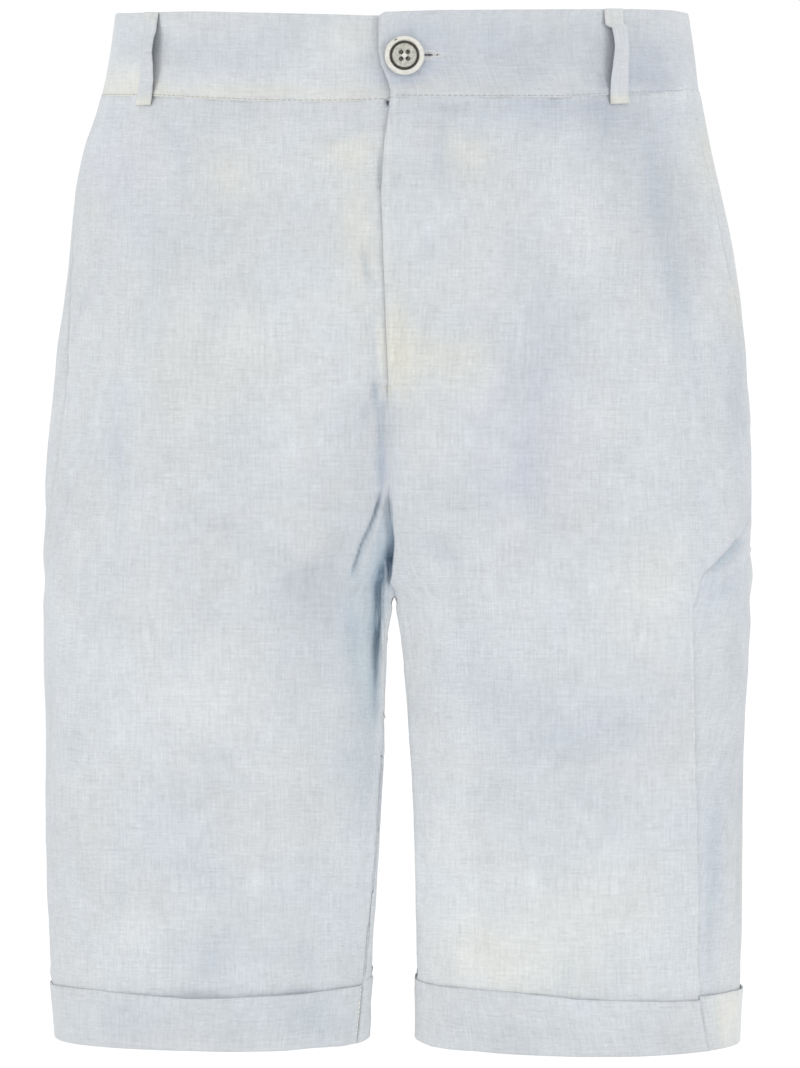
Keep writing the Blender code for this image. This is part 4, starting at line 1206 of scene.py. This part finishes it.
def stitches(name, lines, radius, colour):
    """Short threads, each from a start to an end on the cloth, with the way out of the cloth."""
    places, faces, tints, coordinates = [], [], [], []
    sides = 6
    rings = ((0.0, -0.9, 0.5), (0.16, 0.25, 0.9), (0.5, 0.6, 1.0), (0.84, 0.25, 0.9), (1.0, -0.9, 0.5))
    for number, (start, end, way) in enumerate(lines):
        along = unit(end - start)
        across = unit(np.cross(along, way))
        above = np.cross(across, along)
        first = len(places)
        for share, rise, size in rings:
            for turn in np.linspace(0, 2 * math.pi, sides, endpoint=False):
                middle = start + (end - start) * share + above * rise * radius
                places.append(middle + radius * size * (across * math.cos(turn) + above * math.sin(turn)))
                coordinates.append((share * 4 + number * 0.37, turn, number))
        for ring in range(len(rings) - 1):
            for i in range(sides):
                a, b = first + ring * sides + i, first + ring * sides + (i + 1) % sides
                faces.append((a, b, b + sides, a + sides))
        shade = 1 + 0.06 * math.sin(number * 2.4)
        tints += [tuple(c * shade for c in colour) + (1.0,)] * (sides * len(rings))
    return new_object(name, np.array(places), np.array(faces),
                      {"cloth": np.array(coordinates, float), "vertex_colour": np.array(tints)})


def along_line(points, ways, spacing, length, skip=0.0):
    """Stitches of a length at even spaces along a line of points."""
    reach = np.concatenate([[0], np.cumsum(np.linalg.norm(np.diff(points, axis=0), axis=1))])

    def at(line, spot):
        return np.array([np.interp(spot, reach, line[:, k]) for k in range(3)])

    return [(at(points, start), at(points, start + length), unit(at(ways, start + length / 2)))
            for start in np.arange(skip, reach[-1] - length - skip, spacing)]


# Materials

class Nodes:
    """A material's node tree; every coordinate is in millimetres of cloth."""

    def __init__(self, name):
        self.material = bpy.data.materials.new(name)
        self.material.use_nodes = True
        self.tree = self.material.node_tree
        self.tree.nodes.clear()

    def add(self, kind, inputs, output=0, **settings):
        """A new node's output; each input is a number or another node's output."""
        node = self.tree.nodes.new("ShaderNode" + kind)
        for key, value in settings.items():
            setattr(node, key, value)
        for key, value in inputs.items():
            if isinstance(value, bpy.types.NodeSocket):
                self.tree.links.new(value, node.inputs[key])
            else:
                node.inputs[key].default_value = value
        return node.outputs[output] if node.outputs else None

    def attribute(self, name, output):
        return self.add("Attribute", {}, output, attribute_name=name)

    def math(self, operation, *values):
        return self.add("Math", dict(enumerate(values)), operation=operation)

    def sum(self, *values):
        total = values[0]
        for value in values[1:]:
            total = self.math("ADD", total, value)
        return total

    def times(self, a, b):
        return self.math("MULTIPLY", a, b)

    def ramp(self, value, low, high, start, end):
        """A smooth change from start, at low, to end, at high."""
        return self.add("MapRange", {"Value": value, "From Min": low, "From Max": high, "To Min": start,
                                     "To Max": end}, interpolation_type="SMOOTHSTEP")

    def noise(self, place, across, along, strength, seed=0.0, detail=2.0, rough=0.55):
        """Noise about 0, with lumps of a width and a length, times a strength."""
        scaled = self.add("VectorMath", {0: place, 1: (1 / across, 1 / along, 1.0)}, operation="MULTIPLY")
        moved = self.add("VectorMath", {0: scaled, 1: (seed * 7.7, seed * 3.3, seed)}, operation="ADD")
        value = self.add("TexNoise", {"Vector": moved, "Scale": 1.0, "Detail": detail, "Roughness": rough})
        return self.times(self.math("SUBTRACT", value, 0.5), 2 * strength)

    def weave(self, place, pitch):
        """The over and under of a plain weave, from -1 to 1."""
        turns = self.add("VectorMath", {0: place, "Scale": math.pi / pitch}, operation="SCALE")
        across = self.math("SINE", self.add("SeparateXYZ", {0: turns}, 0))
        down = self.math("SINE", self.add("SeparateXYZ", {0: turns}, 1))
        return self.times(across, down)

    def shaded(self, colour, light):
        """A colour made lighter or darker by a value about 0."""
        return self.add("VectorMath", {0: colour, "Scale": self.math("ADD", light, 1.0)}, operation="SCALE")

    def mixed(self, colour, other, share):
        return self.add("Mix", {0: share, 6: colour, 7: other}, 2, data_type="RGBA")

    def blended(self, colour, other, value, low, high):
        """A colour that changes smoothly to another as a value goes from low to high."""
        return self.mixed(colour, other, self.ramp(value, low, high, 0.0, 1.0))

    def surface(self, colour, height, depth, roughness, **plain):
        """The shader, with a bump of a depth in millimetres and plain numbers on its own sockets."""
        normal = self.add("Bump", {"Height": height, "Strength": 1.0, "Distance": depth * MM})
        shader = self.add("BsdfPrincipled", {"Base Color": colour, "Roughness": roughness, "Normal": normal})
        for key, value in plain.items():
            shader.node.inputs[key.replace("_", " ")].default_value = value
        self.add("OutputMaterial", {"Surface": shader})
        return self.material


def linen(name, streaks=1.0, slub=1.0, crumple=1.0):
    """Washed linen: uneven yarns both ways, thick pale slubs, a plain weave and fine crumples."""
    nodes = Nodes(name)
    place = nodes.attribute("cloth", "Vector")
    vertex_colour = nodes.attribute("vertex_colour", "Color")
    weft = nodes.noise(place, 8.0, 0.70, 0.13 * streaks, 1.0)
    warp = nodes.noise(place, 0.70, 11.0, 0.14 * streaks, 2.0)
    weft_bars = nodes.noise(place, 26.0, 1.3, 0.08 * streaks, 3.0)
    warp_bars = nodes.noise(place, 1.3, 40.0, 0.08 * streaks, 4.0)
    fleck = nodes.noise(place, 1.7, 1.7, 0.09, 5.0)
    cloud = nodes.noise(place, 7.0, 8.0, 0.07, 6.0, 3.0)
    drift = nodes.noise(place, 22.0, 26.0, 0.06, 7.0, 3.0)
    thick_weft = nodes.ramp(nodes.noise(place, 16.0, 0.75, 1.0, 8.0, 1.0), 0.28, 0.50, 0.0, slub)
    thick_warp = nodes.ramp(nodes.noise(place, 0.75, 19.0, 1.0, 9.0, 1.0), 0.30, 0.52, 0.0, slub)
    slubs = nodes.math("MAXIMUM", thick_weft, thick_warp)
    weave = nodes.weave(place, 0.55)
    light = nodes.sum(weft, warp, weft_bars, warp_bars, fleck, cloud, drift,
                      nodes.times(weave, 0.035), nodes.times(slubs, 0.05))
    coloured = nodes.shaded(vertex_colour, light)
    creamy = nodes.add("VectorMath", {0: coloured, 1: (1.03, 1.0, 0.95)}, operation="MULTIPLY")
    colour = nodes.mixed(coloured, creamy, nodes.times(slubs, 0.8))
    fine = nodes.noise(place, 2.6, 2.6, 0.9 * crumple, 10.0, 3.0)
    soft = nodes.noise(place, 9.0, 10.0, 2.4 * crumple, 11.0)
    height = nodes.sum(nodes.times(weave, 0.16), nodes.times(weft, 2.2), nodes.times(warp, 2.2),
                       nodes.times(slubs, 0.6), fine, soft)
    roughness = nodes.ramp(fleck, -0.05, 0.05, 0.84, 0.94)
    return nodes.surface(colour, height, 0.16, roughness, Sheen_Weight=0.10, Sheen_Roughness=0.45,
                         Specular_IOR_Level=0.18)


def sewing_thread(name):
    """Twisted thread; its place is the way along, the way round and a number for each stitch."""
    nodes = Nodes(name)
    place = nodes.attribute("cloth", "Vector")
    vertex_colour = nodes.attribute("vertex_colour", "Color")
    ply = nodes.add("TexWave", {"Vector": place, "Scale": 0.55, "Distortion": 1.2, "Detail": 1.0}, 1,
                    bands_direction="DIAGONAL")
    fuzz = nodes.noise(place, 0.35, 0.8, 0.25, 1.0)
    light = nodes.sum(nodes.times(ply, 0.16), fuzz, -0.08)
    roughness = nodes.ramp(fuzz, -0.1, 0.1, 0.70, 0.82)
    height = nodes.sum(ply, fuzz)
    return nodes.surface(nodes.shaded(vertex_colour, light), height, 0.06, roughness, Sheen_Weight=0.15,
                         Specular_IOR_Level=0.3)


def horn(name):
    """The button: a cream rim, a dark groove and a mottled taupe middle, by the distance from its centre."""
    nodes = Nodes(name)
    place = nodes.attribute("cloth", "Vector")
    flat = nodes.add("VectorMath", {0: place, 1: (1, 1, 0)}, operation="MULTIPLY")
    radius = nodes.add("VectorMath", {0: flat}, "Value", operation="LENGTH")
    wander = nodes.sum(radius, nodes.noise(place, 2.2, 2.2, 0.14, 1.0))
    mottle = nodes.sum(nodes.noise(place, 1.5, 1.3, 0.45, 2.0, 4.0), nodes.noise(place, 0.5, 0.5, 0.35, 3.0))
    grain = nodes.noise(place, 4.0, 1.6, 0.4, 4.0, 3.0)
    middle = nodes.blended((0.25, 0.245, 0.21, 1), (0.51, 0.51, 0.46, 1), mottle, -0.3, 0.25)
    rim = nodes.blended((0.50, 0.49, 0.435, 1), (0.63, 0.625, 0.58, 1), grain, -0.25, 0.15)
    dark = nodes.blended((0.020, 0.015, 0.009, 1), (0.075, 0.060, 0.038, 1), mottle, -0.1, 0.4)
    middle = nodes.mixed((0.68, 0.68, 0.64, 1), middle, nodes.ramp(wander, 0.7, 1.9, 0.3, 1.0))
    # the groove darkens from 5.7 mm outwards: partly its own dark colour, partly painted shade in the dish
    ring = nodes.blended(middle, dark, wander, 5.7, 6.75)
    colour = nodes.blended(ring, rim, wander, 7.5, 7.75)
    roughness = nodes.ramp(grain, -0.4, 0.4, 0.28, 0.46)
    height = nodes.sum(mottle, grain)
    return nodes.surface(colour, height, 0.06, roughness, Specular_IOR_Level=0.5, Coat_Weight=0.15,
                         Coat_Roughness=0.25)


def pale_floor(name):
    """A seamless studio floor, nearly white, with a slight grain."""
    nodes = Nodes(name)
    place = nodes.add("TexCoord", {}, "Object")
    grain = nodes.add("TexNoise", {"Vector": place, "Scale": 3.0, "Detail": 4.0})
    colour = nodes.mixed((0.93, 0.93, 0.93, 1), (0.95, 0.95, 0.95, 1), grain)
    return nodes.surface(colour, grain, 0.2, nodes.ramp(grain, 0.3, 0.7, 0.75, 0.85))


# Button, buttonhole and stitching

BUTTON_X, BUTTON_Z = 2.3, -1.6
BUTTON_RADIUS = 10.25
BUTTON_LIFT = 0.6
BUTTON_SIDES, HOLE_SIDES = 96, 24
BUTTON_SPIN = math.radians(1.5)
SHARP_FROM = math.radians(50)
NICK_TURN, NICK_RADIUS = math.radians(117.7), 9.1
NICK_OUTLINE = ((-1.0, -0.1), (-0.1, -0.46), (0.95, -0.1), (0.6, 0.4), (-0.6, 0.36))
BUTTON_PROFILE = [                          # radius and height, from the middle of the face to the back
    (0.0, 2.35), (1.2, 2.35), (2.6, 2.36), (4.0, 2.40), (5.2, 2.46), (5.9, 2.44), (6.25, 2.30), (6.42, 2.00),
    (6.60, 1.72), (6.95, 1.62), (7.35, 1.68), (7.62, 1.95), (7.78, 2.40), (7.98, 2.82), (8.35, 3.08),
    (8.85, 3.16), (9.35, 3.06), (9.80, 2.74), (10.10, 2.26), (10.22, 1.70), (10.12, 1.10), (9.75, 0.55),
    (9.10, 0.20), (8.20, 0.04), (6.50, 0.0), (4.2, 0.0), (3.0, 0.0), (0.0, 0.0),
]
HOLE_OFFSET, HOLE_RADIUS = 1.76, 1.22
EYELET, EYELET_FROM, EYELET_STEP = 3.1, 12, 14
SLIT = [                                    # the distance from the button's middle and half the width
    (8.0, 0.7), (12.4, 0.82), (14.2, 0.4), (14.9, 0.05), (15.8, 0.05), (16.5, 0.36), (17.3, 0.3),
    (18.2, 0.04)]
SLIT_RAISE = 0.7                            # how far the slit lies above the button's middle
THREAD_CREAM, THREAD_TAN, THREAD_DARK = (0.56, 0.54, 0.48), (0.46, 0.41, 0.31), (0.37, 0.41, 0.45)
THREAD_WHITE, THREAD_LIGHT, THREAD_PALE = (0.71, 0.72, 0.73), (0.86, 0.83, 0.72), (0.74, 0.76, 0.77)


def lathe(profile, sides):
    """A turned shape; a radius of 0 makes one point."""
    places, rings = [], []
    for radius, height in profile:
        count = 1 if radius == 0 else sides
        rings.append(list(range(len(places), len(places) + count)))
        for i in range(count):
            turn = 2 * math.pi * i / sides
            places.append((radius * math.cos(turn), radius * math.sin(turn), height))
    faces = []
    for upper, lower in zip(rings, rings[1:]):
        for i in range(sides):
            corners = [upper[i % len(upper)], lower[i % len(lower)], lower[(i + 1) % len(lower)],
                       upper[(i + 1) % len(upper)]]
            faces.append(list(dict.fromkeys(corners)))
    return places, faces


def prism(outline, low, high):
    count = len(outline)
    faces = [tuple(range(count))[::-1], tuple(range(count, 2 * count))]
    faces += [(i, (i + 1) % count, count + (i + 1) % count, count + i) for i in range(count)]
    return [(x, y, z) for z in (low, high) for x, y in outline], faces


def plain_object(name, places, faces):
    mesh = bpy.data.meshes.new(name)
    mesh.from_pydata(places, [], faces)
    return placed(name, mesh)


def cut_away(thing, cutters):
    """Cuts the cutters out of a piece and removes them."""
    for cutter in cutters:
        cut = thing.modifiers.new("cut", "BOOLEAN")
        cut.operation, cut.solver, cut.object = "DIFFERENCE", "EXACT", cutter
    shape = thing.evaluated_get(bpy.context.evaluated_depsgraph_get())
    mesh = bpy.data.meshes.new_from_object(shape)
    thing.modifiers.clear()
    thing.data = mesh
    for cutter in cutters:
        bpy.data.objects.remove(cutter)


def button_seat():
    """The button's place: its back on the waistband and its face out."""
    above = smooth(SECTIONS, "front", BUTTON_Z + BUTTON_RADIUS)
    below = smooth(SECTIONS, "front", BUTTON_Z - BUTTON_RADIUS)
    lean = math.atan2(below - above, 2 * BUTTON_RADIUS)
    face = smooth(SECTIONS, "front", BUTTON_Z) + BAND_PROUD
    turn = Matrix.Rotation(math.pi / 2 - lean, 4, "X")
    return Matrix.Translation((BUTTON_X, -face, BUTTON_Z)) @ turn


def seated(thing, out=0.0, spin=0.0):
    """Turns a mesh in millimetres round the button's own axis into metres on the waistband."""
    move = button_seat() @ Matrix.Translation((0, 0, out)) @ Matrix.Rotation(spin, 4, "Z")
    thing.data.transform(Matrix.Scale(MM, 4) @ move)
    thing.data.update()


def make_button():
    button = plain_object("button_face", *lathe(BUTTON_PROFILE, BUTTON_SIDES))
    holes = []
    for number, (across, up) in enumerate(((-1, 1), (1, 1), (1, -1), (-1, -1))):
        outline = [(HOLE_RADIUS + 0.3, 2.60), (HOLE_RADIUS, 2.15), (HOLE_RADIUS * 0.95, -1.0)]
        places, faces = lathe([(0, 4.0), (HOLE_RADIUS + 0.35, 4.0)] + outline + [(0, -1.0)], HOLE_SIDES)
        places = [(x + across * HOLE_OFFSET, y + up * HOLE_OFFSET, z) for x, y, z in places]
        holes.append(plain_object(f"button_hole_{number + 1}", places, faces))
    holes.append(plain_object("button_nick", *prism(NICK_OUTLINE, 1.7, 4.0)))
    turn = Matrix.Rotation(NICK_TURN - math.pi / 2, 4, "Z")
    holes[-1].data.transform(turn @ Matrix.Translation((0, NICK_RADIUS, 0)))
    cut_away(button, holes)
    mesh = button.data
    mesh.shade_smooth()
    mesh.set_sharp_from_angle(angle=SHARP_FROM)
    place = mesh.attributes.new("cloth", "FLOAT_VECTOR", "POINT")
    spots = np.empty(len(mesh.vertices) * 3, np.float32)
    mesh.vertices.foreach_get("co", spots)
    place.data.foreach_set("vector", spots)
    seated(button, BUTTON_LIFT, BUTTON_SPIN)
    return button


SHANK_TURNS, SHANK_RADIUS, SHANK_THREAD = 6, 2.5, 0.34
SHANK_STEPS, SHANK_SIDES = 20, 8           # a turn's steps, and the thread's sides
SHANK_BACK, SHANK_FRONT = -2.4, BUTTON_LIFT - 0.3


def make_shank():
    """The thread under the button, wound round and round."""
    places, coordinates = [], []
    steps = SHANK_TURNS * SHANK_STEPS
    for i in range(steps + 1):
        share = i / steps
        turn = share * SHANK_TURNS * 2 * math.pi
        middle = np.array((SHANK_RADIUS * math.cos(turn), SHANK_RADIUS * math.sin(turn),
                           SHANK_BACK + (SHANK_FRONT - SHANK_BACK) * share))
        outwards = np.array((math.cos(turn), math.sin(turn), 0))
        for k in range(SHANK_SIDES):
            angle = 2 * math.pi * k / SHANK_SIDES
            size = SHANK_THREAD * (0.2 if i in (0, steps) else 1.0)
            up = np.array((0, 0, math.sin(angle)))
            places.append(middle + size * (outwards * math.cos(angle) + up))
            coordinates.append((turn * SHANK_RADIUS, angle, 0.0))
    index = np.arange(len(places)).reshape(-1, SHANK_SIDES)
    index = np.concatenate([index, index[:, :1]], 1)
    vertex_colour = np.tile(np.array(THREAD_CREAM + (1.0,)), (len(places), 1))
    shank = new_object("button_thread", np.array(places) / MM, quads(index, -1),
                       {"cloth": np.array(coordinates), "vertex_colour": vertex_colour})
    seated(shank)
    return shank


def slit_cutter():
    """A keyhole through the left end of the waistband: an eyelet for the thread and a slit to its right."""
    turns = [math.radians(EYELET_FROM + EYELET_STEP * i) for i in range(25)]
    outline = [(EYELET * math.cos(turn), EYELET * math.sin(turn)) for turn in turns]
    outline += [(x, SLIT_RAISE - half) for x, half in SLIT]
    outline += [(x, SLIT_RAISE + half) for x, half in reversed(SLIT)]
    cutter = plain_object("buttonhole_cutter", *prism(outline, -6.0, 6.0))
    seated(cutter)
    return cutter


def line_at(points, cloth, level):
    """The row of a grid at a level of its cloth, and the way out along it."""
    normals = grid_normals(points, 1)
    row = float(np.interp(-level, -cloth[:, 0, 1], np.arange(len(points))))
    upper = min(int(row), len(points) - 2)
    part = row - upper
    return (points[upper] * (1 - part) + points[upper + 1] * part,
            unit(normals[upper] * (1 - part) + normals[upper + 1] * part))


def traced(tree, path):
    """Stitches along a path across the front."""
    spots = [seen_at(tree, x, level) for x, level in curve_through(path, 60)]
    return along_line(*(np.array(column) for column in zip(*spots)), STITCH_SPACING, STITCH_LENGTH)


def bar_tack(tree, start, end, wide, count):
    """Close threads side by side, across a line from start to end."""
    start, end = np.array(start, float), np.array(end, float)
    across = unit(np.array((start[1] - end[1], end[0] - start[0])))
    lines = []
    for i in range(count):
        middle = start + (end - start) * i / (count - 1)
        slant = 0.18 * (1 if i % 2 else -1)
        ends = [middle + across * wide * s / 2 + (end - start) / count * slant * s for s in (-1, 1)]
        found = [seen_at(tree, x, level) for x, level in ends]
        lines.append((found[0][0], found[1][0], unit(found[0][1] + found[1][1])))
    return lines


J_STITCH = [(34.5, -25), (34.2, -60), (33.6, -110), (32.5, -140), (27, -157), (17, -165.5), (6, -168.5),
            (-3.6, -173.5)]
STITCH_SPACING, STITCH_LENGTH = 3.0, 2.35
CUFF_STITCHES = (2.3, 1.5, 1.2)            # spacing, length, and how much is left free at the ends
TACK_ENDS, TACK_WIDTH, TACK_THREADS = ((-5.9, -171.8), (-5.4, -177.6)), 2.6, 15
HOLE_STITCHES_START, HOLE_STITCHES_END, HOLE_STITCH_SPACING = 9.0, 21.8, 0.42


# The pieces

def add_sheet(node, finish, grid, side, thickness, kind):
    piece = shell("linen_" + node, grid.points, side, thickness, grid.cloth, colour_and_shade_at(grid, kind))
    piece.data.materials.append(finish)
    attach(piece, "root")
    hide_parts(node)
    return piece


def add_detail(piece, slot, finish, *nodes):
    piece.data.materials.clear()
    piece.data.materials.append(finish)
    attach(piece, "root")
    if nodes:
        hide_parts(*nodes)
    return piece


PANEL_LINEN = linen("linen_panel_cloth")
BAND_LINEN = linen("linen_band_cloth", streaks=0.9, crumple=0.55)
CUFF_LINEN = linen("linen_cuff_cloth", crumple=0.8)
LOOP_LINEN = linen("linen_loop_cloth", streaks=0.9, crumple=0.6)
FACING_LINEN = linen("linen_facing_cloth", slub=1.2)
THREAD = sewing_thread("cotton_thread")
HORN = horn("horn")

SIDES = ((1, "left"), (-1, "right"))
fronts, bands = {}, {}
for side, name in SIDES:
    bands[side] = band(side)
    fronts[side] = front_panel(side)
    add_sheet("waistband_" + name, BAND_LINEN, bands[side], side, BAND_CLOTH, "band")
    add_sheet("front_" + name, PANEL_LINEN, fronts[side], side, CLOTH, "panel")
    add_sheet("back_" + name, PANEL_LINEN, back_panel(side), side, CLOTH, "panel")
    add_sheet("pocket_facing_" + name, FACING_LINEN, facing(side), side, CLOTH, "panel")
turned = {}
for kind in CUFFS:
    place = ("back_" if kind.behind else "front_") + side_name(kind.side)
    turned[place] = cuff(kind)
    add_sheet("cuff_" + place, CUFF_LINEN, turned[place], kind.side, CLOTH, "cuff")
for kind in LOOPS:
    add_sheet(kind.name, LOOP_LINEN, loop(kind), kind.side, LOOP_CLOTH, "loop")


# Where the thread shows

def seat_point(x, y):
    """A place by the button's middle, as X and level on the front."""
    spot = button_seat() @ Vector((x, y, 0))
    return spot.x, spot.z


def buttonhole_stitches(tree):
    """Close stitches along both lips of the slit and on past its far end."""
    lines = []
    for x in np.arange(HOLE_STITCHES_START, HOLE_STITCHES_END, HOLE_STITCH_SPACING):
        half = float(np.interp(x, *zip(*SLIT)))
        wide = (2.75 - 1.5 * float(between(x, 14, 22))) * (0.86 + 0.14 * math.sin(5.1 * x))
        for way in (-1, 1):
            near = seen_at(tree, *seat_point(x, SLIT_RAISE + way * (half + 0.3)))
            out = wide + 0.2 * math.sin(3.3 * x + way)
            far = seen_at(tree, *seat_point(x + 0.15, SLIT_RAISE + way * out))
            lines.append((near[0] - near[1] * 0.12, far[0] - far[1] * 0.1, far[1]))
    return lines


def sewn(name, lines, radius, colour):
    return add_detail(stitches("stitches_" + name, lines, radius, colour), "thread", THREAD)


front_tree = surface_of(*(grids[side].points for grids in (bands, fronts) for side in (1, -1)))
for side, name in SIDES:
    line, ways = line_at(bands[side].points, bands[side].cloth, BAND_BOTTOM + STITCH_INSET)
    lines = along_line(line, ways * side, STITCH_SPACING, STITCH_LENGTH, 1.5)
    sewn("band_" + name, lines, 0.17, THREAD_DARK if side > 0 else THREAD_TAN)
fly = sewn("fly", traced(front_tree, J_STITCH), 0.09, THREAD_PALE)
tack = sewn("fly_end", bar_tack(front_tree, *TACK_ENDS, TACK_WIDTH, TACK_THREADS), 0.2, THREAD_CREAM)
edge = turned["front_right"].points[:CUFF_ROWS]
edge_lines = along_line(edge[:, 1], -grid_normals(edge, 1)[:, 1], *CUFF_STITCHES)
cuff_seam = sewn("turn_up_right", edge_lines, 0.24, THREAD_LIGHT)
hole = sewn("buttonhole", buttonhole_stitches(front_tree), 0.2, THREAD_WHITE)
cut_away(bpy.data.objects["linen_waistband_left"], [slit_cutter()])
add_detail(make_button(), "horn_button", HORN, "button")
add_detail(make_shank(), "thread", THREAD, "button_shank")


# Floor, light and camera

def aim(thing, place, target):
    thing.location = place
    way = Vector(target) - Vector(place)
    thing.rotation_euler = way.to_track_quat("-Z", "Y").to_euler()


def add_light(name, place, size, power):
    lamp = bpy.data.lights.new(name, "AREA")
    lamp.size, lamp.energy = size, power
    aim(placed(name, lamp), place, (0, 0, -0.25))


FLOOR_LEVEL, FLOOR_RADIUS = -1.0, 60.0
shape = bmesh.new()
bmesh.ops.create_circle(shape, cap_ends=True, segments=64, radius=FLOOR_RADIUS)
floor_mesh = bpy.data.meshes.new("studio_floor")
shape.to_mesh(floor_mesh)
shape.free()
floor = placed("studio_floor", floor_mesh)
floor.location.z = FLOOR_LEVEL
floor_mesh.materials.append(pale_floor("pale_floor"))

add_light("left_softbox", (-4.5, -3.0, 0.6), 1.8, 60)
add_light("right_softbox", (4.5, -3.0, 0.6), 1.8, 64)
overhead = bpy.data.lights.new("overhead", "SUN")
overhead.energy, overhead.angle = 0.35, math.radians(40)
placed("overhead", overhead)
world = bpy.data.worlds.new("studio")
world.use_nodes = True
background = world.node_tree.nodes["Background"]
background.inputs["Color"].default_value = (1, 1, 1, 1)
background.inputs["Strength"].default_value = 1.0
bpy.context.scene.world = world
bpy.context.scene.view_settings.view_transform = "Standard"

SENSOR_HEIGHT, LENS = 36, 353
CAMERA_PLACE, CAMERA_TARGET = (0, -5.5, -0.057), (0, 0, -0.2515)
camera_data = bpy.data.cameras.new("camera")
camera_data.sensor_fit = "VERTICAL"
camera_data.sensor_height = SENSOR_HEIGHT
camera_data.lens = LENS
camera = placed("camera", camera_data)
aim(camera, CAMERA_PLACE, CAMERA_TARGET)
bpy.context.scene.camera = camera
